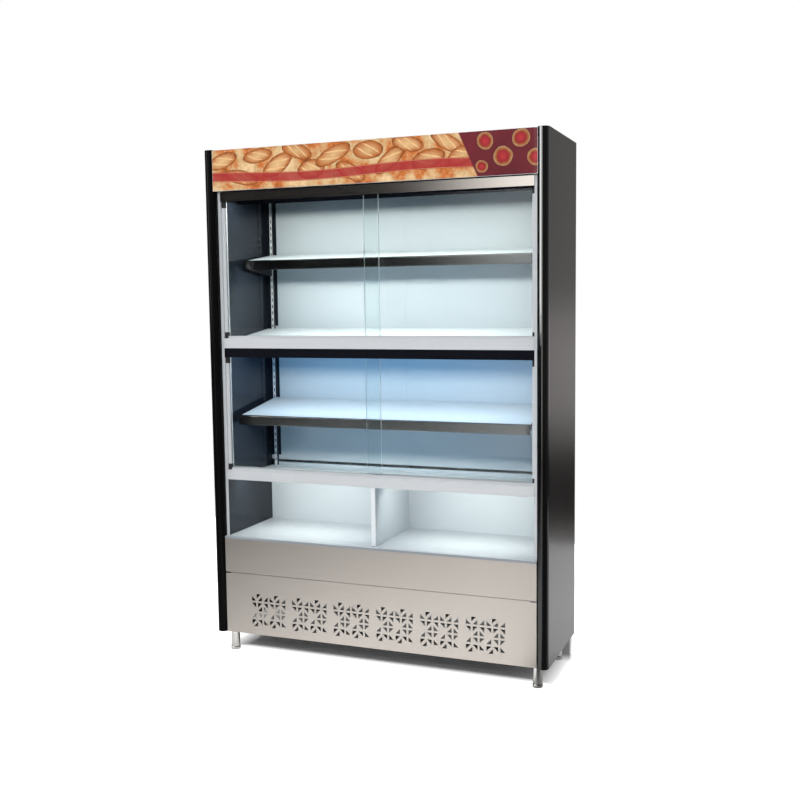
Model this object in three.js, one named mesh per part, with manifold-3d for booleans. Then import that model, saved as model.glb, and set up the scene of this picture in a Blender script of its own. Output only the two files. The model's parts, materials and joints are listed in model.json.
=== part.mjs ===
// Free-standing lit display case for bread and cakes, with two bays behind sliding glass doors
// over one open bay and a hollow plinth. Millimetres, +Z up, the customer stands on the -Y side.
// The origin is on the floor under the middle of the case.

import * as THREE from "three";
import { mergeVertices } from "three/addons/utils/BufferGeometryUtils.js";
import Module from "manifold-3d";

const wasm = await Module();
wasm.setup();

// Overall sizes
const caseWidth = 1250;
const caseDepth = 415;
const caseHeight = 1830;
const legHeight = 80;
const sideWall = 51;
const backWall = 47;

// Stock and clearances
const sheet = 1.5;
const profileWall = 2;
const gap = 0.3;
const overrun = 2;
const weldTolerance = 0.0001;

// Heights of the front, from the plinth upwards and from the top edge downwards
const ventPanelHeight = 224;
const plinthSeam = 1.5;
const apronHeight = 124.5;
const deckLip = 8;
const bottomBayHeight = 209.7;
const railHeight = 35;
const middleDoorway = 412;
const trackFace = 32.5;
const roofStep = 2;
const signHeight = 143;
const headerSeam = 3;
const valanceHeight = 32;

// Setbacks of the front pieces behind the foremost line of the posts
const signSetback = 5;
const panelSetback = 12;
const railSetback = 25;
const jambSetback = 27;
const dividerSetback = 31;
const frontPaneSetback = 40;
const paneSpacing = 20;

// Posts, plinth sheets and roof
const postWidth = 40;
const panelReturnDepth = 15;
const signReturnDepth = 12;
const valanceReturnDepth = 34;
const roofDepth = 16;
const backPanelDepth = 14;
const backPanelRecess = 5;
const liftNotchLength = 20;
const liftNotchHeight = 3.5;

// Vent cut-outs
const ventGroups = 6;
const ventGroupPitchShare = 0.1403;
const ventColumnPitchShare = 0.1466;
const ventRowPitch = 24.6;
const ventBridge = 7.4;
const ventBottomMargin = 35;

// Legs and levelling feet
const legInset = 47;
const frontLegSetback = 57;
const rearLegInset = 65;
const legDiameter = 31.75;
const legWall = 1.5;
const legSocketDepth = 44;
const legNeckDiameter = 18;
const legStudDiameter = 12;
const legStudLength = 16;
const padDiameter = 35;
const padHeight = 13;
const padRimHeight = 2.5;
const footStemLength = 32;
const footStemPlay = 0.6;
const beamDepth = 40;
const beamHeight = 35;

// Door tracks and doors
const grooveWidth = 7;
const grooveDepth = 20;
const guideLip = 9;
const trackTail = 22;
const glassThickness = 5;
const glassTopEntry = 9;
const doorOverlap = 63;
const doorEdgeWidth = 13;
const doorEdgeDepth = 14;
const doorEdgeEndBlock = 22;

// Decks and divider
const upperDeckRise = 35;
const upperDeckFrontDrop = 9;
const upperDeckLip = 16;
const upperDeckUpstand = 10;
const middleDeckStep = 2;
const middleDeckUpstand = 14;
const bayBackStandoff = 11;
const dividerThickness = 16;
const dividerFlange = 16;

// Back liner and slotted uprights
const linerFlange = 40;
const linerTabHeight = 17;
const linerFootGap = 10;
const linerSeam = 1;
const uprightWidth = 10.5;
const uprightDepth = 13;
const uprightInset = 18;
const slotWidth = 4;
const slotHeight = 12;
const slotPitch = 25;
const firstSlotHeight = 17.7;

// Shelves and their brackets
const shelfInset = 28;
const trayHeight = 18;
const shelfFrontHeight = 35;
const shelfFrontDepth = 12;
const shelfFrontWall = 3;
const shelfFrontLip = 2;
const shelfFrontRound = 4;
const seatRise = 28;
const bracketThickness = 3;
const bracketLip = 14;
const bracketHeight = 62;
const bracketNose = 16;
const bracketFrontInset = 34;
const tongueHeight = 8;
const tipDrop = 3;
const tipThickness = 3;
const tongueSlots = 2;
const upperShelf = { bayShare: 0.606, setback: 132, drop: 30 };
const lowerShelf = { bayShare: 0.544, setback: 73, drop: 45 };

// Lamps, their driver, the inlet and its switch
const lampWidth = 18;
const lampHeight = 9;
const lampChamfer = 3;
const lampEndGap = 14;
const shelfLampSetback = 6;
const driverLength = 200;
const driverWidth = 52;
const driverHeight = 30;
const driverEar = 16;
const driverEarThickness = 2;
const serviceCoverWidth = 330;
const driverInset = 290;
const driverRearInset = 165;
const inletInset = 195;
const inletFromTop = 92;
const inletWidth = 62;
const inletHeight = 32;
const inletFlange = 4;
const inletFlangeThickness = 2.5;
const inletDepth = 26;
const socketWidth = 24.5;
const socketHeight = 16.5;
const socketChamfer = 5;
const socketDepth = 18;
const socketOffset = 13;
const windowWidth = 13.6;
const windowHeight = 21;
const windowDepth = 9;
const windowOffset = 17;
const rockerWidth = 13;
const rockerLength = 19;
const rockerCrown = 3.4;
const rockerDip = 1.4;
const rockerBelly = 3;
const rockerPinDiameter = 3;
const rockerPinLength = 16;
const rockerPinPlay = 0.3;
const rockerPivotDepth = 3.5;
const rockerTilt = THREE.MathUtils.degToRad(8);

// Facet counts
const postFacets = 18;
const legFacets = 28;
const pinFacets = 12;
const roundFacets = 3;

// Planes and levels that the sizes above give
const front = -caseDepth / 2;
const back = caseDepth / 2;
const outerX = caseWidth / 2;
const postRadius = postWidth / 2;
const postCentreX = outerX - postRadius;
const postCentreY = front + postRadius;
const facingX = outerX - postWidth - gap;
const sidePanelX = outerX - postWidth + gap;
const innerX = outerX - sideWall;
const fitX = innerX - gap;
const linerY = back - backWall;
const bayBackY = linerY - bayBackStandoff;
const uprightFaceY = linerY - uprightDepth;
const uprightOuterX = innerX - uprightInset;
const uprightInnerX = uprightOuterX - uprightWidth;
const uprightCentreX = uprightOuterX - uprightWidth / 2;
const shelfX = innerX - shelfInset;
const backPanelFaceY = back - backPanelRecess;
const backPanelInnerY = backPanelFaceY - backPanelDepth;
const inletX = outerX - inletInset;
const coverX = facingX - serviceCoverWidth;

const ventGroupPitch = 2 * facingX * ventGroupPitchShare;
const ventColumnPitch = ventGroupPitch * ventColumnPitchShare;
const ventPanelTop = legHeight + ventPanelHeight;
const apronBottom = ventPanelTop + plinthSeam;
const apronTop = apronBottom + apronHeight;
const bottomDeckTop = apronTop + gap + deckLip;
const lowerRailBottom = bottomDeckTop + bottomBayHeight;
const lowerRailTop = lowerRailBottom + railHeight;
const middleDeckTop = lowerRailBottom + middleDeckStep;
const middleTrackBottom = lowerRailTop + middleDoorway;
const middleTrackTop = middleTrackBottom + trackFace;
const midRailBottom = middleTrackTop + gap;
const midRailTop = midRailBottom + railHeight;
const signTop = caseHeight - roofStep;
const signBottom = signTop - signHeight;
const valanceTop = signBottom - headerSeam;
const valanceBottom = valanceTop - valanceHeight;
const ceiling = valanceBottom + grooveDepth;
const headerFloorTop = ceiling + sheet;

const frontPaneY = front + frontPaneSetback;
const rearPaneY = frontPaneY + paneSpacing;
const railFrontY = front + railSetback;
const trackFrontY = railFrontY + sheet + gap;
const grooveReach = grooveWidth / 2 + sheet;
const trackRearY = rearPaneY + grooveReach + guideLip;
const jambRearY = trackRearY - sheet;
const jambFaceY = front + jambSetback;
const deckFrontY = trackRearY + gap;
const lampFrontY = trackRearY + gap;
const uprightBottom = middleDeckTop + gap;
const uprightTop = ceiling - gap;
const linerFootZ = middleDeckTop + middleDeckUpstand + linerFootGap;
const linerFlangeZ = linerFootZ + linerTabHeight + gap;

// Outlines and solids

function block(x, y, z) {
  const geometry = new THREE.BoxGeometry(x[1] - x[0], y[1] - y[0], z[1] - z[0]);
  geometry.translate((x[0] + x[1]) / 2, (y[0] + y[1]) / 2, (z[0] + z[1]) / 2);
  return geometry;
}

function outlineShape(points) {
  const corners = points.map(([across, up]) => new THREE.Vector2(across, up));
  const distinct = corners.filter((corner, index) => {
    const before = corners[(index + corners.length - 1) % corners.length];
    return corner.distanceTo(before) > weldTolerance;
  });
  return new THREE.Shape(distinct);
}

function extruded(shape, length, curveSegments) {
  return new THREE.ExtrudeGeometry(shape, { depth: length, bevelEnabled: false, curveSegments });
}

const axisX = new THREE.Vector3(1, 0, 0);
const axisY = new THREE.Vector3(0, 1, 0);
const axisZ = new THREE.Vector3(0, 0, 1);

// Section drawn in Y and Z
function alongX(shape, x, curveSegments = roundFacets) {
  const geometry = extruded(shape, x[1] - x[0], curveSegments);
  geometry.applyMatrix4(new THREE.Matrix4().makeBasis(axisY, axisZ, axisX));
  return geometry.translate(x[0], 0, 0);
}

// Section drawn in X and Z
function alongY(shape, y, curveSegments = roundFacets) {
  const geometry = extruded(shape, y[1] - y[0], curveSegments);
  geometry.applyMatrix4(new THREE.Matrix4().makeBasis(axisX, axisZ, axisY.clone().negate()));
  return geometry.translate(0, y[1], 0);
}

// Section drawn in X and Y
function alongZ(shape, z, curveSegments = roundFacets) {
  return extruded(shape, z[1] - z[0], curveSegments).translate(0, 0, z[0]);
}

function rightNormal(from, to) {
  const direction = to.clone().sub(from).normalize();
  return new THREE.Vector2(direction.y, -direction.x);
}

// Outline of a folded sheet: the line is its outer face, and the sheet lies to the line's right
function foldedSheet(line, thickness = sheet) {
  const outer = line.map(([across, up]) => new THREE.Vector2(across, up));
  const inner = outer.map((corner, index) => {
    const normals = [];
    if (index > 0) {
      normals.push(rightNormal(outer[index - 1], corner));
    }
    if (index < outer.length - 1) {
      normals.push(rightNormal(corner, outer[index + 1]));
    }
    const mitre = normals.length === 2 ? 1 + normals[0].dot(normals[1]) : 1;
    const step = normals.reduce((sum, normal) => sum.add(normal), new THREE.Vector2());
    return corner.clone().addScaledVector(step, thickness / mitre);
  });
  return new THREE.Shape([...outer, ...inner.reverse()]);
}

// Outline of a flat web with walls standing on it and hanging from it
function combShape(y, z, above, below) {
  const points = [[y[0], z[0]]];
  for (const wall of below) {
    points.push([wall.y[0], z[0]], [wall.y[0], z[0] - wall.reach]);
    points.push([wall.y[1], z[0] - wall.reach], [wall.y[1], z[0]]);
  }
  points.push([y[1], z[0]], [y[1], z[1]]);
  for (const wall of [...above].reverse()) {
    points.push([wall.y[1], z[1]], [wall.y[1], z[1] + wall.reach]);
    points.push([wall.y[0], z[1] + wall.reach], [wall.y[0], z[1]]);
  }
  points.push([y[0], z[1]]);
  return outlineShape(points);
}

function toSolid(geometry) {
  const bare = new THREE.BufferGeometry();
  bare.setAttribute("position", geometry.getAttribute("position").clone());
  bare.setIndex(geometry.index ? geometry.index.clone() : null);
  const merged = mergeVertices(bare, weldTolerance);
  return new wasm.Manifold(new wasm.Mesh({
    numProp: 3,
    vertProperties: new Float32Array(merged.getAttribute("position").array),
    triVerts: new Uint32Array(merged.index.array),
  }));
}

function toGeometry(body) {
  const mesh = body.getMesh();
  const indexed = new THREE.BufferGeometry();
  indexed.setAttribute("position", new THREE.BufferAttribute(new Float32Array(mesh.vertProperties), 3));
  indexed.setIndex(new THREE.BufferAttribute(new Uint32Array(mesh.triVerts), 1));
  const geometry = indexed.toNonIndexed();
  geometry.computeVertexNormals();
  return geometry;
}

function joined(...geometries) {
  return toGeometry(geometries.map(toSolid).reduce((sum, body) => sum.add(body)));
}

function cut(geometry, ...tools) {
  return toGeometry(tools.map(toSolid).reduce((rest, tool) => rest.subtract(tool), toSolid(geometry)));
}

function widened(range, amount) {
  return [range[0] - amount, range[1] + amount];
}

function around(centre, size) {
  return [centre - size / 2, centre + size / 2];
}

function sideRange(side, near, far) {
  return side > 0 ? [near, far] : [-far, -near];
}

function upright(x, y, z, radius, facets) {
  const geometry = new THREE.CylinderGeometry(radius, radius, z[1] - z[0], facets);
  geometry.rotateX(Math.PI / 2);
  return geometry.translate(x, y, (z[0] + z[1]) / 2);
}

// Scene graph

const group = new THREE.Group();

const finishes = {
  bodyPaint: { color: 0x4b4542, roughness: 0.42, metalness: 0.55 },
  glossBlack: { color: 0x0d0c0d, roughness: 0.16, metalness: 0.1 },
  linerPaint: { color: 0x27313e, roughness: 0.3, metalness: 0.2 },
  whitePaint: { color: 0xe9eef0, roughness: 0.38, metalness: 0.05 },
  stainless: { color: 0xb5aea4, roughness: 0.34, metalness: 0.9 },
  satinAluminium: { color: 0xc9cbd0, roughness: 0.38, metalness: 0.75 },
  darkProfile: { color: 0x2b2a2e, roughness: 0.35, metalness: 0.4 },
  galvanised: { color: 0x9aa0a4, roughness: 0.5, metalness: 0.85 },
  print: { color: 0xd9a76a, roughness: 0.35, metalness: 0 },
  glass: { color: 0xdbeaec, roughness: 0.03, metalness: 0 },
  lampBody: { color: 0xeef4ff, roughness: 0.5, metalness: 0 },
  blackPlastic: { color: 0x141414, roughness: 0.45, metalness: 0 },
  polished: { color: 0xd2d2d0, roughness: 0.2, metalness: 0.95 },
};

function piece(name, geometry, finish, parent = group) {
  const mesh = new THREE.Mesh(geometry, new THREE.MeshStandardMaterial(finishes[finish]));
  mesh.name = name;
  parent.add(mesh);
  return mesh;
}

const sides = [["left", -1], ["right", 1]];

// Carcass: posts, side walls, back and roof

function halfRound(side, radius, backWallShare) {
  const lift = Math.asin(backWallShare);
  const section = new THREE.Shape();
  return section.absarc(side * postCentreX, postCentreY, radius, Math.PI + lift, 2 * Math.PI - lift);
}

// Half-round hollow profile, capped at the top
function postGeometry(side) {
  const boreRadius = postRadius - profileWall;
  const solid = alongZ(halfRound(side, postRadius, 0), [legHeight, caseHeight], postFacets);
  const boreSection = halfRound(side, boreRadius, profileWall / boreRadius);
  const bore = alongZ(boreSection, [legHeight - overrun, caseHeight - profileWall], postFacets);
  return cut(solid, bore);
}

function legPlaces() {
  const x = outerX - legInset;
  const places = { front: front + frontLegSetback, rear: back - rearLegInset };
  return Object.entries(places).flatMap(([row, y]) => {
    return sides.map(([name, side]) => ({ name: `${row}_${name}`, side, x: side * x, y }));
  });
}

// A shallow tray open towards the inside of the case, with its rim notched round each leg's neck
function sidePanelGeometry(side) {
  const y = [front + postRadius + gap, back];
  const z = [legHeight, caseHeight];
  const tray = block(sideRange(side, sidePanelX, outerX), y, z);
  const pocketX = sideRange(side, sidePanelX - overrun, outerX - sheet);
  const pocket = block(pocketX, widened(y, -sheet), widened(z, -sheet));
  const necks = legPlaces().filter((leg) => leg.side === side).map((leg) => {
    return upright(leg.x, leg.y, around(legHeight, 2 * overrun), legNeckDiameter / 2 + gap, pinFacets);
  });
  return cut(tray, pocket, ...necks);
}

// A flat sheet beside the goods, with a flange behind them that starts above the middle deck
function sideLinerGeometry(side) {
  const z = [bottomDeckTop + gap, ceiling - gap];
  const wallX = sideRange(side, innerX, innerX + sheet);
  const wall = block(wallX, [jambRearY + gap, linerY + sheet], z);
  const lowerWallY = [jambFaceY + sheet + gap, linerY + sheet];
  const lowerWall = block(wallX, lowerWallY, [z[0], lowerRailBottom - gap]);
  const flangeX = sideRange(side, innerX - linerFlange, innerX + sheet);
  const flange = block(flangeX, [linerY, linerY + sheet], [linerFlangeZ, z[1]]);
  return joined(wall, lowerWall, flange);
}

// Light angle beside the doorways; its return ends at the lower rail, where the doors end
function jambGeometry(side) {
  const section = foldedSheet([
    [side * facingX, jambFaceY],
    [side * innerX, jambFaceY],
    [side * innerX, jambRearY],
  ], side * sheet);
  const z = [bottomDeckTop + gap, signBottom - gap];
  const openX = widened(sideRange(side, innerX, innerX + sheet), overrun);
  const openY = [jambFaceY + sheet, jambRearY + overrun];
  return cut(alongZ(section, z), block(openX, openY, [z[0] - overrun, lowerRailBottom]));
}

// White back wall between the side liners' flanges, with a seam down its middle
function backLinerGeometry() {
  const upperEdge = innerX - linerFlange - gap;
  const z = [linerFootZ, ceiling - gap];
  const section = outlineShape([
    [-fitX, z[0]],
    [fitX, z[0]],
    [fitX, linerFlangeZ - gap],
    [upperEdge, linerFlangeZ - gap],
    [upperEdge, z[1]],
    [-upperEdge, z[1]],
    [-upperEdge, linerFlangeZ - gap],
    [-fitX, linerFlangeZ - gap],
  ]);
  const seam = block(around(0, linerSeam), around(linerY, sheet), widened(z, overrun));
  return cut(alongY(section, [linerY, linerY + sheet]), seam);
}

function inletOpening(clearance) {
  const x = widened(around(inletX, inletWidth), clearance);
  const z = widened(around(caseHeight - inletFromTop, inletHeight), clearance);
  return { x, z };
}

// The outline leaves out the corner that the service cover closes
function backPanelOutline(inset) {
  const x = facingX - inset;
  const cornerX = coverX - inset;
  const cornerZ = headerFloorTop - inset;
  return outlineShape([
    [-x, legHeight + inset],
    [x, legHeight + inset],
    [x, cornerZ],
    [cornerX, cornerZ],
    [cornerX, signTop - inset],
    [-x, signTop - inset],
  ]);
}

// A tray open towards the inside
function backPanelGeometry() {
  const y = [backPanelInnerY, backPanelFaceY];
  const tray = alongY(backPanelOutline(0), y);
  const pocket = alongY(backPanelOutline(sheet), [y[0] - overrun, y[1] - sheet]);
  return cut(tray, pocket);
}

// A tray over the driver's corner, with the hole for the power inlet
function serviceCoverGeometry() {
  const x = [coverX + gap, facingX];
  const y = [backPanelInnerY, backPanelFaceY];
  const z = [headerFloorTop + gap, signTop];
  const tray = block(x, y, z);
  const pocket = block(widened(x, -sheet), [y[0] - overrun, y[1] - sheet], widened(z, -sheet));
  const opening = inletOpening(gap);
  const hole = block(opening.x, widened(y, overrun), opening.z);
  return cut(tray, pocket, hole);
}

function topPanelGeometry() {
  const x = [-facingX, facingX];
  const y = [front + signSetback + signReturnDepth + gap, backPanelInnerY - gap];
  const z = [signTop - roofDepth, signTop];
  const tray = block(x, y, z);
  const pocket = block(widened(x, -sheet), widened(y, -sheet), [z[0] - overrun, z[1] - sheet]);
  return cut(tray, pocket);
}

function buildCarcass() {
  for (const [name, side] of sides) {
    piece(`post_${name}`, postGeometry(side), "glossBlack");
    piece(`side_panel_${name}`, sidePanelGeometry(side), "bodyPaint");
    piece(`side_liner_${name}`, sideLinerGeometry(side), "linerPaint");
    piece(`jamb_${name}`, jambGeometry(side), "satinAluminium");
  }
  piece("back_liner", backLinerGeometry(), "whitePaint");
  piece("back_panel", backPanelGeometry(), "galvanised");
  piece("service_cover", serviceCoverGeometry(), "galvanised");
  piece("top_panel", topPanelGeometry(), "bodyPaint");
}

// Header: printed sign, stainless valance and the floor that carries the upper doors

function signGeometry() {
  const faceY = front + signSetback;
  const chord = postRadius - signSetback - sheet;
  const faceX = postCentreX - Math.sqrt(postRadius ** 2 - chord ** 2) - gap;
  const face = block([-faceX, faceX], [faceY, faceY + sheet], [signBottom, signTop]);
  const folds = foldedSheet([
    [faceY + signReturnDepth, signBottom],
    [faceY, signBottom],
    [faceY, signTop],
    [faceY + signReturnDepth, signTop],
  ]);
  return joined(face, alongX(folds, [-facingX, facingX]));
}

function valanceGeometry() {
  const section = foldedSheet([
    [railFrontY, valanceBottom],
    [railFrontY, valanceTop],
    [railFrontY + valanceReturnDepth, valanceTop],
  ]);
  return alongX(section, [-fitX, fitX]);
}

// The walls on both sides of each pane's groove
function grooveWalls(reach) {
  return [frontPaneY, rearPaneY].flatMap((paneY) => [
    { y: [paneY - grooveReach, paneY - grooveWidth / 2], reach },
    { y: [paneY + grooveWidth / 2, paneY + grooveReach], reach },
  ]);
}

function headerFloorGeometry() {
  const z = [ceiling, headerFloorTop];
  const tailY = trackRearY + trackTail;
  const frontWall = { y: [trackFrontY, trackFrontY + sheet], reach: grooveDepth };
  const track = combShape([trackFrontY, tailY], z, [], [frontWall, ...grooveWalls(grooveDepth)]);
  const plate = block([-facingX, facingX], [trackRearY, backPanelInnerY - gap], z);
  return joined(alongX(track, [-fitX, fitX]), plate);
}

function buildHeader() {
  piece("sign_panel", signGeometry(), "print");
  piece("valance", valanceGeometry(), "stainless");
  piece("header_floor", headerFloorGeometry(), "darkProfile");
}

// Rails and tracks across the front

function railGeometry(bottom) {
  const top = bottom + railHeight;
  const face = { y: [railFrontY, railFrontY + profileWall], reach: railHeight - profileWall };
  const tail = { y: [trackRearY - profileWall, trackRearY], reach: guideLip };
  const web = [top - profileWall, top];
  const section = combShape([railFrontY, trackRearY], web, grooveWalls(guideLip), [face, tail]);
  return alongX(section, [-fitX, fitX]);
}

function middleTrackGeometry() {
  const web = [middleTrackBottom + grooveDepth, middleTrackBottom + grooveDepth + sheet];
  const faceY = [trackFrontY, trackFrontY + sheet];
  const above = [{ y: faceY, reach: middleTrackTop - web[1] }];
  const below = [{ y: faceY, reach: grooveDepth }, ...grooveWalls(grooveDepth)];
  return alongX(combShape([trackFrontY, trackRearY + trackTail], web, above, below), [-fitX, fitX]);
}

function buildRails() {
  piece("mid_rail", railGeometry(midRailBottom), "satinAluminium");
  piece("lower_rail", railGeometry(lowerRailBottom), "satinAluminium");
  piece("middle_top_track", middleTrackGeometry(), "darkProfile");
}

// Decks and divider

// Room for the uprights at the rear corners of a deck
function uprightNotches(bottom, top) {
  return sides.map(([, side]) => {
    const x = sideRange(side, uprightInnerX - gap, innerX + overrun);
    return block(x, [uprightFaceY - gap, linerY + overrun], [bottom, top]);
  });
}

function upperDeckGeometry() {
  const frontZ = midRailTop - upperDeckFrontDrop;
  const rearY = linerY - gap - sheet;
  const rearZ = frontZ + upperDeckRise;
  const section = foldedSheet([
    [deckFrontY, frontZ - upperDeckLip],
    [deckFrontY, frontZ],
    [rearY, rearZ],
    [rearY, rearZ + upperDeckUpstand],
  ]);
  const notches = uprightNotches(frontZ, rearZ + upperDeckUpstand + overrun);
  return cut(alongX(section, [-fitX, fitX]), ...notches);
}

function middleDeckGeometry() {
  const rearY = linerY - gap - sheet;
  const section = foldedSheet([
    [deckFrontY, middleDeckTop],
    [rearY, middleDeckTop],
    [rearY, middleDeckTop + middleDeckUpstand],
  ]);
  const notches = uprightNotches(middleDeckTop, middleDeckTop + middleDeckUpstand + overrun);
  return cut(alongX(section, [-fitX, fitX]), ...notches);
}

// The deck runs under the side liners, and its tall upstand stands between them
function bottomDeckGeometry() {
  const frontY = front + panelSetback;
  const upstandTop = middleDeckTop - sheet - gap;
  const section = foldedSheet([
    [frontY, apronTop + gap],
    [frontY, bottomDeckTop],
    [bayBackY, bottomDeckTop],
    [bayBackY, upstandTop],
  ]);
  const corners = sides.map(([, side]) => {
    const x = sideRange(side, fitX, facingX + overrun);
    return block(x, widened([bayBackY, linerY], overrun), [bottomDeckTop, upstandTop + overrun]);
  });
  return cut(alongX(section, [-facingX, facingX]), ...corners);
}

// A double-skinned panel with one rear flange, notched at the top for the lamp
function dividerGeometry() {
  const y = [front + dividerSetback, bayBackY - gap];
  const z = [bottomDeckTop + gap, lowerRailBottom - gap];
  const edge = dividerThickness / 2;
  const section = outlineShape([
    [-edge, y[0]],
    [edge, y[0]],
    [edge, y[1] - sheet],
    [edge + dividerFlange, y[1] - sheet],
    [edge + dividerFlange, y[1]],
    [-edge, y[1]],
  ]);
  const lampY = widened([lampFrontY, lampFrontY + lampWidth], gap);
  const lampZ = [bottomLampTop() - lampHeight - gap, z[1] + overrun];
  const notch = block([-edge - overrun, edge + overrun], lampY, lampZ);
  return cut(alongZ(section, z), notch);
}

function buildDecks() {
  piece("upper_deck", upperDeckGeometry(), "whitePaint");
  piece("middle_deck", middleDeckGeometry(), "whitePaint");
  piece("bottom_deck", bottomDeckGeometry(), "whitePaint");
  piece("divider", dividerGeometry(), "whitePaint");
}

// Slotted uprights

function slotBottom(index) {
  return uprightBottom + firstSlotHeight + index * slotPitch;
}

function uprightGeometry(side) {
  const rearY = linerY - gap;
  const inner = side * uprightInnerX;
  const outer = side * uprightOuterX;
  const channel = foldedSheet([
    [inner, rearY],
    [inner, uprightFaceY],
    [outer, uprightFaceY],
    [outer, rearY],
  ], -side * sheet);
  const slots = [];
  for (let index = 0; slotBottom(index) + slotHeight < uprightTop - firstSlotHeight; index += 1) {
    const x = around(side * uprightCentreX, slotWidth);
    const z = [slotBottom(index), slotBottom(index) + slotHeight];
    slots.push(block(x, widened([uprightFaceY, uprightFaceY + sheet], sheet / 2), z));
  }
  return cut(alongZ(channel, [uprightBottom, uprightTop]), ...slots);
}

// Shelves: a tray, its front profile, a lamp under the tray and two hooked brackets

// The slot nearest to the shelf's share of its bay carries the upper tongues
function shelfSlot(shelf) {
  const wanted = shelf.floor + (shelf.ceiling - shelf.floor) * shelf.bayShare;
  return Math.round((wanted - seatRise - slotBottom(0)) / slotPitch);
}

// The shelf's top plane falls from the uprights to its front edge
function shelfPlane(shelf) {
  const frontY = front + shelf.setback;
  const rearY = uprightFaceY - gap;
  const rearZ = slotBottom(shelfSlot(shelf)) + seatRise;
  const tilt = Math.atan2(shelf.drop, rearY - frontY);
  return { frontY, rearY, frontZ: rearZ - shelf.drop, tilt, depth: (rearY - frontY) / Math.cos(tilt) };
}

// World place of a point that lies some way back along the shelf and above its top plane
function onShelf(plane, along, above) {
  const point = new THREE.Vector2(along, above).rotateAround(new THREE.Vector2(), plane.tilt);
  return [plane.frontY + point.x, plane.frontZ + point.y];
}

function trayGeometry(plane) {
  const y = [shelfFrontDepth + gap, plane.depth - trayHeight * Math.tan(plane.tilt)];
  const z = [-trayHeight, 0];
  const tray = block([-shelfX, shelfX], y, z);
  const hollowX = [-shelfX + sheet, shelfX - sheet];
  const pocket = block(hollowX, widened(y, -sheet), [z[0] - overrun, z[1] - sheet]);
  return cut(tray, pocket);
}

// A channel open to the rear, with rounded front edges and a low lip above the tray
function shelfFrontGeometry() {
  const top = shelfFrontLip;
  const bottom = top - shelfFrontHeight;
  const wall = shelfFrontWall;
  const section = new THREE.Shape();
  section.moveTo(shelfFrontDepth, top);
  section.lineTo(shelfFrontRound, top);
  section.quadraticCurveTo(0, top, 0, top - shelfFrontRound);
  section.lineTo(0, bottom + shelfFrontRound);
  section.quadraticCurveTo(0, bottom, shelfFrontRound, bottom);
  section.lineTo(shelfFrontDepth, bottom);
  section.lineTo(shelfFrontDepth, bottom + wall);
  section.lineTo(wall, bottom + wall);
  section.lineTo(wall, top - wall);
  section.lineTo(shelfFrontDepth, top - wall);
  return alongX(section, [-shelfX, shelfX], roundFacets);
}

// Web with two tongues that pass through the upright's slots and drop behind its face
function bracketGeometry(plane, shelf, side) {
  const seat = -trayHeight - gap;
  const noseAlong = bracketFrontInset;
  const topAlong = plane.depth + seat * Math.tan(plane.tilt);
  const nose = onShelf(plane, noseAlong, seat);
  const noseFoot = onShelf(plane, noseAlong, seat - bracketNose);
  const rear = onShelf(plane, topAlong, seat);
  const tongueY = [plane.rearY, uprightFaceY + sheet + gap];
  const points = [noseFoot, nose, rear];
  const rearFoot = [plane.rearY, rear[1] - bracketHeight];
  for (let index = 0; index < tongueSlots; index += 1) {
    const low = slotBottom(shelfSlot(shelf) - index * tongueSlots) + gap;
    const high = low + tongueHeight;
    points.push([tongueY[0], high], [tongueY[1] + tipThickness, high]);
    points.push([tongueY[1] + tipThickness, low - tipDrop], [tongueY[1], low - tipDrop]);
    points.push([tongueY[1], low], [tongueY[0], low]);
  }
  points.push(rearFoot);
  const web = alongX(outlineShape(points), around(side * uprightCentreX, bracketThickness));
  const lipX = sideRange(side, uprightCentreX - bracketLip, uprightCentreX + bracketThickness / 2);
  const lip = block(lipX, [noseAlong, topAlong - bracketThickness], [seat - sheet, seat]);
  lip.rotateX(plane.tilt).translate(0, plane.frontY, plane.frontZ);
  return joined(web, lip);
}

function lampShape(y, top) {
  const bottom = top - lampHeight;
  return outlineShape([
    [y + lampChamfer, bottom],
    [y + lampWidth - lampChamfer, bottom],
    [y + lampWidth, bottom + lampChamfer],
    [y + lampWidth, top],
    [y, top],
    [y, bottom + lampChamfer],
  ]);
}

function buildShelf(name, shelf) {
  const plane = shelfPlane(shelf);
  const tilted = new THREE.Group();
  tilted.position.set(0, plane.frontY, plane.frontZ);
  tilted.rotation.x = plane.tilt;
  group.add(tilted);
  piece(`${name}_shelf_tray`, trayGeometry(plane), "whitePaint", tilted);
  piece(`${name}_shelf_front`, shelfFrontGeometry(), "darkProfile", tilted);
  const lampY = shelfFrontDepth + gap + sheet + shelfLampSetback;
  const lamp = alongX(lampShape(lampY, -sheet - gap), [-shelfX + lampEndGap, shelfX - lampEndGap]);
  piece(`${name}_shelf_lamp`, lamp, "lampBody", tilted);
  for (const [sideName, side] of sides) {
    piece(`${name}_bracket_${sideName}`, bracketGeometry(plane, shelf, side), "galvanised");
  }
}

function buildShelves() {
  for (const [name, side] of sides) {
    piece(`upright_${name}`, uprightGeometry(side), "satinAluminium");
  }
  buildShelf("upper", { ...upperShelf, floor: midRailTop, ceiling });
  buildShelf("lower", { ...lowerShelf, floor: lowerRailTop, ceiling: middleTrackBottom + grooveDepth });
}

// Lamps behind the rails

function bottomLampTop() {
  return middleDeckTop - sheet - gap;
}

function buildLamps() {
  const x = [-fitX + lampEndGap, fitX - lampEndGap];
  const tops = {
    header_lamp: ceiling - gap,
    middle_lamp: middleTrackBottom + grooveDepth - gap,
    bottom_lamp: bottomLampTop(),
  };
  for (const [name, top] of Object.entries(tops)) {
    piece(name, alongX(lampShape(lampFrontY, top), x), "lampBody");
  }
}

// Sliding doors: a pane in its groove with an aluminium profile on its outer edge

function doorGlassGeometry(side, paneY, bottom, top) {
  const outer = fitX - gap - sheet - gap;
  const x = side > 0 ? [-doorOverlap / 2, outer] : [-outer, doorOverlap / 2];
  return block(x, around(paneY, glassThickness), [bottom, top]);
}

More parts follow.
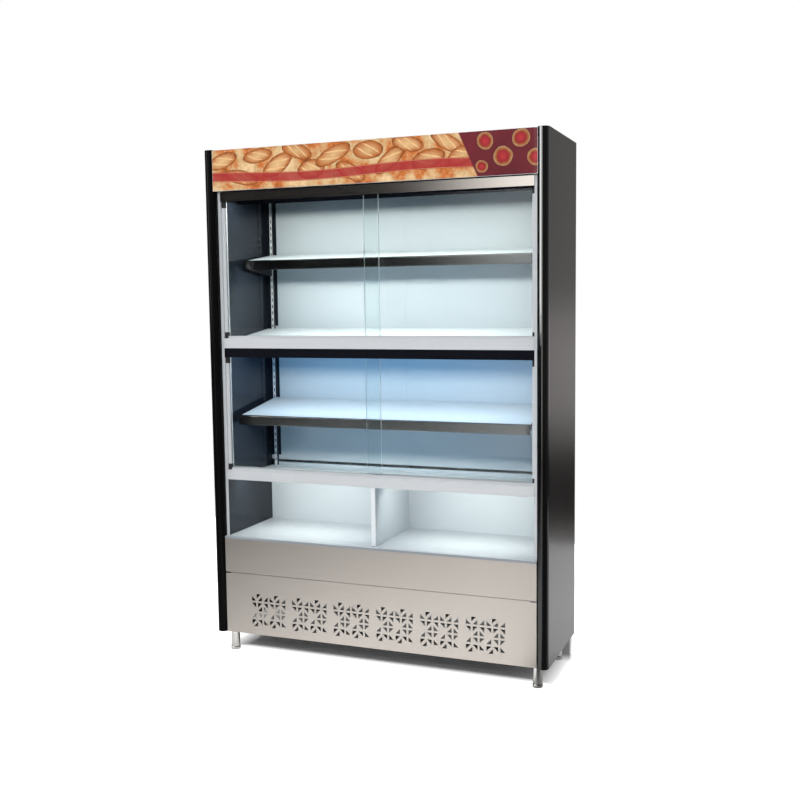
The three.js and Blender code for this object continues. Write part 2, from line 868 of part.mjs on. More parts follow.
function doorEdgeGeometry(side, paneY, bottom, top) {
  const outer = fitX - gap;
  const inner = outer - doorEdgeWidth;
  const slotX = outer - sheet;
  const slotY = widened(around(paneY, glassThickness), gap);
  const y = around(paneY, doorEdgeDepth);
  const section = outlineShape([
    [side * outer, y[0]],
    [side * outer, y[1]],
    [side * inner, y[1]],
    [side * inner, slotY[1]],
    [side * slotX, slotY[1]],
    [side * slotX, slotY[0]],
    [side * inner, slotY[0]],
    [side * inner, y[0]],
  ]);
  return alongZ(section, [bottom + doorEdgeEndBlock, top - doorEdgeEndBlock]);
}

function buildDoors() {
  const doorways = {
    upper: [midRailTop, valanceBottom],
    middle: [lowerRailTop, middleTrackBottom],
  };
  for (const [level, [sill, head]] of Object.entries(doorways)) {
    for (const [name, side] of sides) {
      const paneY = side > 0 ? rearPaneY : frontPaneY;
      const door = new THREE.Group();
      group.add(door);
      const glass = doorGlassGeometry(side, paneY, sill + gap, head + glassTopEntry);
      piece(`${level}_${name}_door_glass`, glass, "glass", door);
      const edge = doorEdgeGeometry(side, paneY, sill, head);
      piece(`${level}_${name}_door_edge`, edge, "satinAluminium", door);
    }
  }
}

// Plinth: apron, vent panel and base beams

function apronGeometry() {
  const faceY = front + panelSetback;
  const section = foldedSheet([
    [faceY + panelReturnDepth, apronBottom],
    [faceY, apronBottom],
    [faceY, apronTop],
    [faceY + panelReturnDepth, apronTop],
  ]);
  return alongX(section, [-facingX, facingX]);
}

// Each letter names the corner of the cell where a triangle has its right angle:
// a upper left, b upper right, c lower left, d lower right. A dot leaves the sheet whole.
// A row rises by its share of the row pitch and shifts by its share of the column pitch.
const ventRows = [
  { cells: ".a..a.", riseShare: 3.9, shiftShare: -0.2 },
  { cells: "cddcdd", riseShare: 3.55, shiftShare: 0 },
  { cells: "babbab", riseShare: 2.55, shiftShare: 0 },
  { cells: ".dc.dc", riseShare: 2, shiftShare: 0 },
  { cells: "dbadba", riseShare: 1, shiftShare: 0 },
  { cells: "abcabc", riseShare: 0, shiftShare: 0 },
  { cells: "d..d..", riseShare: -0.33, shiftShare: 0.25 },
];

function ventTriangle(cell, x, z) {
  const corners = [
    ["c", x[0], z[0]],
    ["d", x[1], z[0]],
    ["b", x[1], z[1]],
    ["a", x[0], z[1]],
  ];
  const opposite = { a: "d", b: "c", c: "b", d: "a" }[cell];
  const kept = corners.filter(([name]) => name !== opposite);
  return outlineShape(kept.map(([, across, up]) => [across, up]));
}

function ventCutouts(y) {
  const columns = ventRows[0].cells.length;
  const cutouts = [];
  for (let number = 0; number < ventGroups; number += 1) {
    const centre = (number - (ventGroups - 1) / 2) * ventGroupPitch;
    const left = centre - (columns * ventColumnPitch) / 2;
    ventRows.forEach(({ cells, riseShare, shiftShare }) => {
      const bottom = legHeight + ventBottomMargin + riseShare * ventRowPitch;
      [...cells].forEach((cell, column) => {
        if (cell === ".") {
          return;
        }
        const start = left + (column + shiftShare) * ventColumnPitch;
        const x = [start + ventBridge / 2, start + ventColumnPitch - ventBridge / 2];
        const z = [bottom + ventBridge / 2, bottom + ventRowPitch - ventBridge / 2];
        cutouts.push(alongY(ventTriangle(cell, x, z), y));
      });
    });
  }
  return cutouts;
}

// Folded panel with pinwheel triangles, and a notch at each upper corner to lift it out
function ventPanelGeometry() {
  const faceY = front + panelSetback;
  const face = outlineShape([
    [-facingX, legHeight],
    [facingX, legHeight],
    [facingX, ventPanelTop - liftNotchHeight],
    [facingX - liftNotchLength, ventPanelTop - liftNotchHeight],
    [facingX - liftNotchLength, ventPanelTop],
    [-facingX + liftNotchLength, ventPanelTop],
    [-facingX + liftNotchLength, ventPanelTop - liftNotchHeight],
    [-facingX, ventPanelTop - liftNotchHeight],
  ]);
  const rearY = faceY + panelReturnDepth;
  const foot = block([-facingX, facingX], [faceY, rearY], [legHeight, legHeight + sheet]);
  const headX = [-facingX + liftNotchLength, facingX - liftNotchLength];
  const head = block(headX, [faceY, rearY], [ventPanelTop - sheet, ventPanelTop]);
  const folded = joined(alongY(face, [faceY, faceY + sheet]), foot, head);
  return cut(folded, ...ventCutouts(widened([faceY, faceY + sheet], overrun)));
}

// Channel across the case, open towards the middle, with a hole over each leg
function beamGeometry(legY, inward) {
  const bottom = legHeight + sheet + gap;
  const outerY = legY - (inward * beamDepth) / 2;
  const innerY = legY + (inward * beamDepth) / 2;
  const section = foldedSheet([
    [innerY, bottom],
    [outerY, bottom],
    [outerY, bottom + beamHeight],
    [innerY, bottom + beamHeight],
  ], inward * profileWall);
  const ends = outerX - sheet - gap;
  const holes = legPlaces().filter((leg) => leg.y === legY).map((leg) => {
    const z = around(bottom, 2 * profileWall + overrun);
    return upright(leg.x, leg.y, z, legStudDiameter / 2 + gap, pinFacets);
  });
  return cut(alongX(section, [-ends, ends]), ...holes);
}

// Legs and levelling feet

function revolved(profile) {
  const points = profile.map(([radius, height]) => new THREE.Vector2(radius, height));
  const geometry = new THREE.LatheGeometry(points, legFacets);
  return geometry.rotateX(Math.PI / 2);
}

// Stud and neck above a tube that is open at the bottom
function legGeometry() {
  const tubeRadius = legDiameter / 2;
  const tubeTop = legHeight - gap;
  const neckTop = legHeight + sheet;
  return revolved([
    [0, padHeight + legSocketDepth],
    [tubeRadius - legWall, padHeight + legSocketDepth],
    [tubeRadius - legWall, padHeight],
    [tubeRadius, padHeight],
    [tubeRadius, tubeTop],
    [legNeckDiameter / 2, tubeTop],
    [legNeckDiameter / 2, neckTop],
    [legStudDiameter / 2, neckTop],
    [legStudDiameter / 2, neckTop + legStudLength],
    [0, neckTop + legStudLength],
  ]);
}

// Rounded pad with a stem that runs in the leg's tube
function footGeometry() {
  const padRadius = padDiameter / 2;
  const padTop = padHeight - gap;
  const stemRadius = legDiameter / 2 - legWall - footStemPlay;
  return revolved([
    [0, 0],
    [padRadius - padRimHeight, 0],
    [padRadius, padRimHeight],
    [padRadius, padTop - padRimHeight],
    [padRadius - padRimHeight, padTop],
    [stemRadius, padTop],
    [stemRadius, padTop + footStemLength],
    [0, padTop + footStemLength],
  ]);
}

function buildPlinth() {
  piece("front_apron", apronGeometry(), "stainless");
  piece("vent_panel", ventPanelGeometry(), "stainless");
  piece("base_front_beam", beamGeometry(front + frontLegSetback, 1), "galvanised");
  piece("base_rear_beam", beamGeometry(back - rearLegInset, -1), "galvanised");
  for (const { name, x, y } of legPlaces()) {
    piece(`leg_${name}`, legGeometry(), "polished").position.set(x, y, 0);
    piece(`foot_${name}`, footGeometry(), "polished").position.set(x, y, 0);
  }
}

// Electrical pieces: driver in the header, inlet with its switch in the back panel

function driverGeometry() {
  const ends = driverLength / 2;
  const shape = outlineShape([
    [-ends - driverEar, 0],
    [ends + driverEar, 0],
    [ends + driverEar, driverEarThickness],
    [ends, driverEarThickness],
    [ends, driverHeight],
    [-ends, driverHeight],
    [-ends, driverEarThickness],
    [-ends - driverEar, driverEarThickness],
  ]);
  return alongY(shape, around(0, driverWidth));
}

function chamferedRectangle(x, z, chamfer) {
  return outlineShape([
    [x[0], z[0]],
    [x[1], z[0]],
    [x[1], z[1] - chamfer],
    [x[1] - chamfer, z[1]],
    [x[0] + chamfer, z[1]],
    [x[0], z[1] - chamfer],
  ]);
}

function pinAlongX(radius, length) {
  return new THREE.CylinderGeometry(radius, radius, length, pinFacets).rotateZ(Math.PI / 2);
}

// Moulded body with a flange outside the panel, a socket recess and the rocker's window
function inletGeometry(pivot) {
  const faceY = backPanelFaceY + gap + inletFlangeThickness;
  const body = inletOpening(0);
  const flange = inletOpening(inletFlange);
  const shell = joined(
    block(body.x, [faceY - inletDepth, faceY], body.z),
    block(flange.x, [backPanelFaceY + gap, faceY], flange.z),
  );
  const socketX = around(inletX + socketOffset, socketWidth);
  const socketZ = around(pivot.z, socketHeight);
  const socketY = [faceY - socketDepth, faceY + overrun];
  const socket = alongY(chamferedRectangle(socketX, socketZ, socketChamfer), socketY);
  const windowX = around(pivot.x, windowWidth);
  const window = block(windowX, [faceY - windowDepth, faceY + overrun], around(pivot.z, windowHeight));
  const pinHole = pinAlongX(rockerPinDiameter / 2 + rockerPinPlay, rockerPinLength + 2 * gap);
  pinHole.translate(pivot.x, pivot.y, pivot.z);
  return cut(shell, socket, window, pinHole);
}

// The rocker is drawn level about its pivot and rests tipped to its lit side
function rockerGeometry() {
  const end = rockerLength / 2;
  const section = outlineShape([
    [-rockerBelly, -rockerBelly],
    [-rockerBelly, rockerBelly],
    [0, end],
    [rockerCrown, end],
    [rockerDip, 0],
    [rockerCrown, -end],
    [0, -end],
  ]);
  const bar = alongX(section, around(0, rockerWidth));
  return joined(bar, pinAlongX(rockerPinDiameter / 2, rockerPinLength));
}

function buildElectrics() {
  const driver = piece("led_driver", driverGeometry(), "lampBody");
  driver.position.set(outerX - driverInset, back - driverRearInset, headerFloorTop + gap);
  const pivot = {
    x: inletX - windowOffset,
    y: backPanelFaceY + gap + inletFlangeThickness - rockerPivotDepth,
    z: caseHeight - inletFromTop,
  };
  piece("power_inlet", inletGeometry(pivot), "blackPlastic");
  const rocker = piece("switch_rocker", rockerGeometry(), "blackPlastic");
  rocker.position.set(pivot.x, pivot.y, pivot.z);
  rocker.rotation.x = rockerTilt;
}

buildCarcass();
buildHeader();
buildRails();
buildDecks();
buildShelves();
buildLamps();
buildDoors();
buildPlinth();
buildElectrics();

export default group;
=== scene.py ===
"""Looks of the bakery display case: finishes, door panes, light strips, header print and studio."""

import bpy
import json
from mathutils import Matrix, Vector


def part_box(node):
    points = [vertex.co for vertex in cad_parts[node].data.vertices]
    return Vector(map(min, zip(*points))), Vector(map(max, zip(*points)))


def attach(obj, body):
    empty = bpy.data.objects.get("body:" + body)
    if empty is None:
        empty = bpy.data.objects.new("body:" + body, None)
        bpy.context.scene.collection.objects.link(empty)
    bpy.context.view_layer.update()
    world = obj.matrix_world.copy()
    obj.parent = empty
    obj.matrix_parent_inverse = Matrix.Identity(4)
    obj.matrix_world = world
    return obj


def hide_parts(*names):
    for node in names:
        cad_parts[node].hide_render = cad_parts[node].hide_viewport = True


bl_info = {
    "name": "Bakery display case",
    "version": (1, 0, 0),
    "blender": (4, 5, 0),
    "location": "3D View > Sidebar > Display case",
    "description": "Dresses the packed display case and sets up its studio",
    "category": "Object",
}

import json
import math

import bmesh
import bpy
from bpy.props import FloatProperty, FloatVectorProperty, IntProperty, PointerProperty
from mathutils import Matrix, Vector

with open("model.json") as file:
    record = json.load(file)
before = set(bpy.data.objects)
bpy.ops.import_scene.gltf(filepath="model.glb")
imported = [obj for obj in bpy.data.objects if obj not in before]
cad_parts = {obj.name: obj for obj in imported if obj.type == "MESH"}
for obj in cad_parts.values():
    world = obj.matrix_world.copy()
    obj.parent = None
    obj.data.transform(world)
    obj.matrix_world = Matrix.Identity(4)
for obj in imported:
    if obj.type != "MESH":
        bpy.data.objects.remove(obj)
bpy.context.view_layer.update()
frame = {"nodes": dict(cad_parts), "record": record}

MM = 0.001
# Distance under which two points are one
TINY = 1e-6
# Grain of an extruded profile that lies along X or stands along Z
ALONG_X = (1.5, 300.0, 300.0)
ALONG_Z = (300.0, 300.0, 1.5)
# Height of the bottom deck's top, and a place beyond the case, in metres
DECK_TOP = 0.441
BEYOND = 1.0
SIDES = (("left", -1), ("right", 1))
LEVELS = ("upper", "middle")


# Settings


def length_setting(name, description, default):
    """A length's property"""
    return FloatProperty(name=name, description=description, default=default, unit="LENGTH")


def colour_setting(name, description, default):
    """A colour's property"""
    return FloatVectorProperty(
        name=name, description=description, subtype="COLOR", size=3, min=0, max=1, default=default,
    )


def strength_setting(name, description, default):
    """A property for watts or like strengths"""
    return FloatProperty(name=name, description=description, default=default, min=0)


def angle_setting(name, description, default):
    """An angle's property"""
    return FloatProperty(name=name, description=description, default=default, subtype="ANGLE")


class CaseSizes(bpy.types.PropertyGroup):
    """Sizes of the pieces that dress the case"""

    post_wall: length_setting("Post wall", "Wall of the hollow corner posts", 2 * MM)
    post_round: length_setting("Post edge round", "Round on the posts' ends", 0.6 * MM)
    pane_arris: length_setting("Pane arris", "Chamfer ground on the panes' edges", 0.7 * MM)
    block_height: length_setting(
        "End block height", "Height of the black blocks at the grip profiles' ends", 21.7 * MM,
    )
    strip_wall: length_setting("Strip wall", "Wall of the light strips' channels", 1.2 * MM)
    film_thickness: length_setting("Film thickness", "Thickness of the header's printed film", 0.25 * MM)
    film_margin: length_setting("Film margin", "Bare edge round the header's printed film", 0.8 * MM)
    screw_radius: length_setting("Screw head radius", "Radius of the back panels' screw heads", 4 * MM)
    screw_height: length_setting("Screw head height", "Height of the back panels' screw heads", 1.9 * MM)
    round_steps: IntProperty(
        name="Steps of a turn", description="Facets of the legs and feet", default=64, min=24, max=128,
    )


class CaseColours(bpy.types.PropertyGroup):
    """Base colours of the finishes"""

    body: colour_setting("Body paint", "Grey-brown powder coat", (0.0050, 0.0041, 0.0038))
    post: colour_setting("Post gloss", "Gloss black coat", (0.004, 0.0038, 0.004))
    liner: colour_setting("Side liner", "Charcoal-blue inner walls", (0.009, 0.012, 0.018))
    white: colour_setting("White paint", "Decks, trays and back wall", (0.37, 0.42, 0.455))
    stainless: colour_setting("Stainless", "Plinth front and valance", (0.47, 0.435, 0.40))
    aluminium: colour_setting("Aluminium", "Rails, jambs and grips", (0.67, 0.70, 0.73))
    dark_profile: colour_setting("Dark profile", "Shelf fronts and top tracks", (0.13, 0.127, 0.125))
    zinc: colour_setting("Zinc", "Back panels, brackets and beams", (0.42, 0.44, 0.45))
    cream: colour_setting("Bread cream", "Palest tone of the header's print", (0.86, 0.56, 0.27))
    crust: colour_setting("Bread crust", "Crust tone of the header's print", (0.52, 0.15, 0.035))
    ribbon: colour_setting("Ribbon red", "Band of the header's print", (0.45, 0.028, 0.035))
    berry: colour_setting("Berry", "Dark red end of the header's print", (0.14, 0.012, 0.020))
    fill: colour_setting("Fill light", "Cool light in the bays", (0.22, 0.56, 1.0))
    light: colour_setting("Strip light", "Light of the strips", (1.0, 0.96, 0.88))


class CaseStage(bpy.types.PropertyGroup):
    """Camera and lights"""

    lens: FloatProperty(
        name="Lens", description="Focal length in millimetres on a 36 mm sensor", default=46.82, min=10,
    )
    yaw: angle_setting("Yaw", "Camera's turn to the left", 0.3764)
    pitch: angle_setting("Pitch", "Camera's tilt upwards", -0.0968)
    roll: angle_setting("Roll", "Camera's roll", -0.0121)
    place: FloatVectorProperty(
        name="Camera place", description="Where the camera stands", subtype="XYZ", unit="LENGTH", size=3,
        default=(1.39985, -3.45167, 1.29715),
    )
    strip_power: strength_setting("Strip power", "Watts of each light strip's lamp", 6.4)
    fill_power: strength_setting("Fill power", "Watts of each bay's cool light from the room", 0.35)
    key_power: strength_setting("Key power", "Watts of the front softbox", 78.0)
    sky: strength_setting("Room light", "Strength of the room's even light", 0.42)


def sizes():
    return bpy.context.scene.case_sizes


def colours():
    return bpy.context.scene.case_colours


def stage_settings():
    return bpy.context.scene.case_stage


# Materials

finishes = {}


class Shades:
    """A node tree with short ways to add its nodes"""

    def __init__(self, tree):
        self.nodes = tree.nodes
        self.links = tree.links

    def node(self, kind, inputs=None, **settings):
        made = self.nodes.new("ShaderNode" + kind)
        for key, value in settings.items():
            setattr(made, key, value)
        for key, value in (inputs or {}).items():
            if isinstance(value, bpy.types.NodeSocket):
                self.links.new(value, made.inputs[key])
            else:
                made.inputs[key].default_value = value
        return made

    def maths(self, operation, first, second=0.0):
        return self.node("Math", {0: first, 1: second}, operation=operation).outputs[0]

    def times(self, first, *others):
        """Product of several values"""
        for other in others:
            first = self.maths("MULTIPLY", first, other)
        return first

    def most(self, first, *others):
        """Largest of several values"""
        for other in others:
            first = self.maths("MAXIMUM", first, other)
        return first

    def split(self, vector):
        """X, Y and Z of a vector"""
        return self.node("SeparateXYZ", {0: vector}).outputs

    def spread(self, value, low, high, out_low=0.0, out_high=1.0):
        inputs = {"Value": value, "From Min": low, "From Max": high, "To Min": out_low, "To Max": out_high}
        return self.node("MapRange", inputs).outputs[0]

    def ramp(self, value, stops):
        made = self.node("ValToRGB", {"Fac": value})
        elements = made.color_ramp.elements
        elements[0].position, elements[1].position = stops[0][0], stops[-1][0]
        for position, _ in stops[1:-1]:
            elements.new(position)
        for element, (_, colour) in zip(elements, stops):
            element.color = rgba(colour)
        return made.outputs[0]

    def mix(self, factor, first, second, blend="MIX"):
        made = self.node("Mix", data_type="RGBA", blend_type=blend, clamp_factor=True)
        for socket, value in zip((made.inputs[0], made.inputs[6], made.inputs[7]), (factor, first, second)):
            if isinstance(value, bpy.types.NodeSocket):
                self.links.new(value, socket)
            else:
                socket.default_value = rgba(value)
        return made.outputs[2]


class Finish(Shades):
    """A procedural material"""

    def __init__(self, name, **settings):
        self.material = bpy.data.materials.new(name)
        self.material.use_nodes = True
        finishes[name] = self.material
        super().__init__(self.material.node_tree)
        self.shader = self.nodes["Principled BSDF"]
        self.output = self.nodes["Material Output"]
        self.place = self.node("TexCoord").outputs["Object"]
        for key, value in settings.items():
            self.shader.inputs[key.replace("_", " ")].default_value = rgba(value)

    def stretched(self, scale):
        return self.node("Mapping", {"Vector": self.place, "Scale": scale}).outputs[0]

    def noise(self, scale, detail=3.0, roughness=0.5, vector=None):
        inputs = {"Vector": vector or self.place, "Scale": scale, "Detail": detail, "Roughness": roughness}
        return self.node("TexNoise", inputs).outputs[0]

    def set(self, key, socket):
        self.links.new(socket, self.shader.inputs[key])

    def clouded(self, source, colour, low, high):
        """Base colour that a pattern makes darker and paler"""
        self.set("Base Color", self.mix(source, tinted(colour, low), tinted(colour, high)))

    def uneven(self, source, low, high):
        """Roughness that a pattern moves between two values"""
        self.set("Roughness", self.spread(source, 0.3, 0.7, low, high))

    def relief(self, height, strength, distance):
        bump = self.node("Bump", {"Height": height, "Strength": strength, "Distance": distance})
        self.set("Normal", bump.outputs[0])


def rgba(value):
    if hasattr(value, "__len__") and len(value) == 3:
        return (*value, 1.0)
    return value


def tinted(colour, factor):
    return tuple(min(1.0, channel * factor) for channel in colour)


def powder_coat(name, colour, roughness):
    """Fine orange-peel coat with faint cloudy variation"""
    made = Finish(name, Metallic=0.0, Specular_IOR_Level=0.5)
    made.clouded(made.spread(made.noise(3.5, 4.0), 0.3, 0.7), colour, 0.88, 1.12)
    made.uneven(made.noise(22.0, 3.0), roughness - 0.008, roughness + 0.008)
    made.relief(made.noise(260.0, 2.0), 0.004, 0.0001)


# Metres along X in which each post's gloss fades towards the doorway, and along Z downwards
LEFT_FADE = (-0.617, -0.612)
RIGHT_FADE = (0.5935, 0.5905)
LOW_FADE = (0.75, 0.95)


def gloss_coat(name, colour):
    """Lacquer with a slow waviness and a clear coat, duller low down and towards the doorway"""
    made = Finish(name, Specular_IOR_Level=0.5, Coat_Weight=1.0, Coat_Roughness=0.02, Coat_IOR=1.9)
    made.clouded(made.noise(5.0, 3.0), colour, 0.85, 1.15)
    made.uneven(made.noise(40.0, 3.0), 0.09, 0.12)
    x, _, z = made.split(made.place)
    inner = made.times(made.spread(x, *LEFT_FADE), made.spread(x, *RIGHT_FADE))
    gloss = made.times(made.spread(z, *LOW_FADE, 0.35, 1.0), made.spread(inner, 0.0, 1.0, 1.0, 0.05))
    made.set("Specular IOR Level", made.times(gloss, 0.5))
    made.set("Coat Weight", gloss)
    made.relief(made.noise(7.0, 1.0), 0.005, 0.001)


def liner_coat(name, colour):
    """Smooth coated sheet that mirrors the shelves' ends softly"""
    made = Finish(name, Specular_IOR_Level=0.35)
    made.clouded(made.noise(4.0, 3.0), colour, 0.9, 1.1)
    made.uneven(made.noise(30.0, 3.0), 0.11, 0.14)
    made.relief(made.noise(5.0, 1.0), 0.002, 0.001)


def white_coat(name, colour, lip, front):
    """White sheet with a semi-gloss coat and faint scuffs, a grey trim before lip, on the bottom deck, and
    a painted bright edge before front, on the divider, which stands in for light that the strips don't give
    it"""
    made = Finish(name, Specular_IOR_Level=0.25)
    scuffs = made.spread(made.noise(60.0, 6.0, 0.7, made.stretched((0.15, 1.0, 1.0))), 0.55, 0.8)
    shade = made.mix(scuffs, colour, tinted(colour, 0.93))
    _, y, z = made.split(made.place)
    shade = made.mix(made.maths("LESS_THAN", y, lip), shade, (0.30, 0.33, 0.37))
    # Painted light: the divider's front edge is paler, as if lit
    edge = made.times(made.maths("LESS_THAN", y, front), made.maths("GREATER_THAN", z, DECK_TOP))
    made.set("Base Color", made.mix(edge, shade, (0.80, 0.86, 0.90)))
    made.uneven(made.noise(25.0, 3.0), 0.32, 0.42)
    made.relief(made.noise(700.0, 2.0), 0.06, 0.0003)


def brushed_sheet(name, colour, roughness, metallic=0.88):
    """Rolled sheet, ground along one axis"""
    made = Finish(name, Metallic=metallic)
    streaks = made.noise(1.0, 5.0, 0.65, made.stretched((2.0, 500.0, 900.0)))
    cloud = made.noise(2.2, 3.0)
    shade = made.mix(made.spread(cloud, 0.3, 0.7), tinted(colour, 0.95), tinted(colour, 1.06))
    made.set("Base Color", made.mix(made.spread(streaks, 0.35, 0.65), shade, tinted(colour, 1.05)))
    made.uneven(streaks, roughness - 0.02, roughness + 0.02)
    made.relief(streaks, 0.015, 0.0001)


def anodised(name, colour, roughness, metallic=0.75, grain=ALONG_X, shaded=()):
    """Extruded aluminium with faint die lines along its length, darker in some ranges of one axis"""
    made = Finish(name, Metallic=metallic)
    lines = made.noise(1.0, 4.0, 0.6, made.stretched(grain))
    shade = made.mix(made.spread(lines, 0.35, 0.65), tinted(colour, 0.98), tinted(colour, 1.02))
    for axis, start, end, tone in shaded:
        level = made.split(made.place)[axis]
        inside = made.times(made.maths("GREATER_THAN", level, start), made.maths("LESS_THAN", level, end))
        shade = made.mix(inside, shade, tinted(colour, tone))
    made.set("Base Color", shade)
    made.uneven(lines, roughness - 0.04, roughness + 0.05)
    made.relief(lines, 0.03, 0.0001)


def zinc_coat(name, colour):
    """Hot-dipped sheet with its crystal spangle"""
    made = Finish(name, Metallic=0.85)
    wobble = made.node("TexNoise", {"Vector": made.place, "Scale": 60.0})
    shift = made.node("VectorMath", {0: wobble.outputs[1], "Scale": 0.012}, operation="SCALE")
    vector = made.node("VectorMath", {0: made.place, 1: shift.outputs[0]}, operation="ADD").outputs[0]
    cells = made.node("TexVoronoi", {"Vector": vector, "Scale": 75.0}).outputs["Color"]
    grey = made.node("SeparateColor", {0: cells}).outputs[0]
    made.set("Base Color", made.ramp(grey, [(0.0, tinted(colour, 0.82)), (1.0, tinted(colour, 1.2))]))
    made.set("Roughness", made.spread(grey, 0.0, 1.0, 0.36, 0.52))
    made.relief(made.noise(300.0, 2.0), 0.08, 0.0002)


def polished_tube(name):
    """Polished stainless tube with fine turning lines"""
    made = Finish(name, Metallic=1.0)
    lines = made.noise(1.0, 3.0, 0.5, made.stretched((3.0, 3.0, 900.0)))
    made.set("Base Color", made.mix(lines, (0.62, 0.61, 0.59), (0.74, 0.73, 0.71)))
    made.uneven(lines, 0.14, 0.22)
    made.relief(lines, 0.05, 0.0001)


def moulded_black(name, colour=(0.018, 0.018, 0.019), roughness=0.5, gloss=0.4):
    """Moulded plastic with a spark-eroded grain"""
    made = Finish(name, Specular_IOR_Level=gloss)
    made.clouded(made.noise(40.0, 3.0), colour, 0.85, 1.2)
    made.uneven(made.noise(60.0, 3.0), roughness - 0.06, roughness + 0.06)
    made.relief(made.noise(1600.0, 2.0), 0.15, 0.0002)


def frosted_strip(name, colour):
    """Glowing diffuser, a little brighter over each diode"""
    made = Finish(name, Base_Color=(0.9, 0.93, 0.95), Roughness=0.55)
    made.shader.inputs["Emission Color"].default_value = rgba(colour)
    diodes = made.node("TexWave", {"Vector": made.place, "Scale": 19.0}, wave_profile="SIN").outputs[1]
    shown = made.maths("SUBTRACT", 1.0, made.node("LightPath").outputs["Is Diffuse Ray"])
    made.set("Emission Strength", made.times(shown, made.spread(diodes, 0.0, 1.0, 1.4, 1.8)))
    made.material.cycles.emission_sampling = "NONE"


def strip_body(name):
    """White enamelled channel of a light strip or driver"""
    made = Finish(name, Specular_IOR_Level=0.4)
    made.set("Base Color", made.mix(made.noise(20.0, 3.0), (0.66, 0.68, 0.70), (0.74, 0.76, 0.78)))
    made.uneven(made.noise(50.0, 2.0), 0.4, 0.5)
    made.relief(made.noise(800.0, 2.0), 0.06, 0.0002)


def clear_pane(name):
    """Tempered glass that lets the lamps' light through only dimmed, as painted shade in the bays behind it
    """
    made = Finish(name, Base_Color=(0.94, 0.98, 0.98), Roughness=0.0, IOR=1.3, Transmission_Weight=1.0)
    made.relief(made.noise(1.6, 1.0), 0.01, 0.001)
    # Painted shade: to shadow and diffuse rays the pane is a grey sheet that passes about a third of the
    # light
    clear = made.node("BsdfTransparent", {"Color": (0.30, 0.32, 0.34, 1.0)})
    path = made.node("LightPath").outputs
    lighting = made.most(path["Is Shadow Ray"], path["Is Diffuse Ray"])
    both = made.node("MixShader", {0: lighting, 1: made.shader.outputs[0], 2: clear.outputs[0]})
    made.links.new(both.outputs[0], made.output.inputs[0])


def ground_edge(name):
    """Ground and polished glass edge, pale blue-green: partly the ground edge's own colour and partly a
    painted highlight along the edge
    """
    made = Finish(name, Specular_IOR_Level=0.6, Transmission_Weight=0.2)
    cloud = made.noise(35.0, 4.0)
    made.set("Base Color", made.mix(cloud, (0.50, 0.60, 0.62), (0.62, 0.74, 0.76)))
    made.uneven(cloud, 0.25, 0.4)
    made.relief(made.noise(900.0, 2.0), 0.1, 0.0002)


# Loaves of the header's print: place along X and Z as shares of the film, half length and half
# height in millimetres, turn in degrees, and a share that makes the loaf darker
LOAVES = (
    (0.035, 0.72, 62, 27, 18, 0.1), (0.10, 0.30, 70, 25, -12, 0.5), (0.155, 0.80, 58, 24, 8, 0.3),
    (0.22, 0.55, 66, 30, 33, 0.0), (0.285, 0.86, 60, 26, -20, 0.6), (0.33, 0.40, 52, 33, 5, 0.2),
    (0.40, 0.70, 72, 27, 24, 0.4), (0.455, 0.28, 60, 26, -28, 0.1), (0.51, 0.76, 56, 31, 0, 0.7),
    (0.575, 0.50, 66, 27, 38, 0.3), (0.63, 0.84, 58, 25, -14, 0.1), (0.69, 0.46, 60, 31, 14, 0.5),
    (0.745, 0.82, 62, 25, -30, 0.2), (0.79, 0.50, 54, 29, 20, 0.6),
)
# Tarts of its dark end: place as above, and radius in millimetres
TARTS = ((0.855, 0.78, 27), (0.905, 0.42, 31), (0.955, 0.80, 28), (0.995, 0.36, 27), (0.845, 0.22, 20))


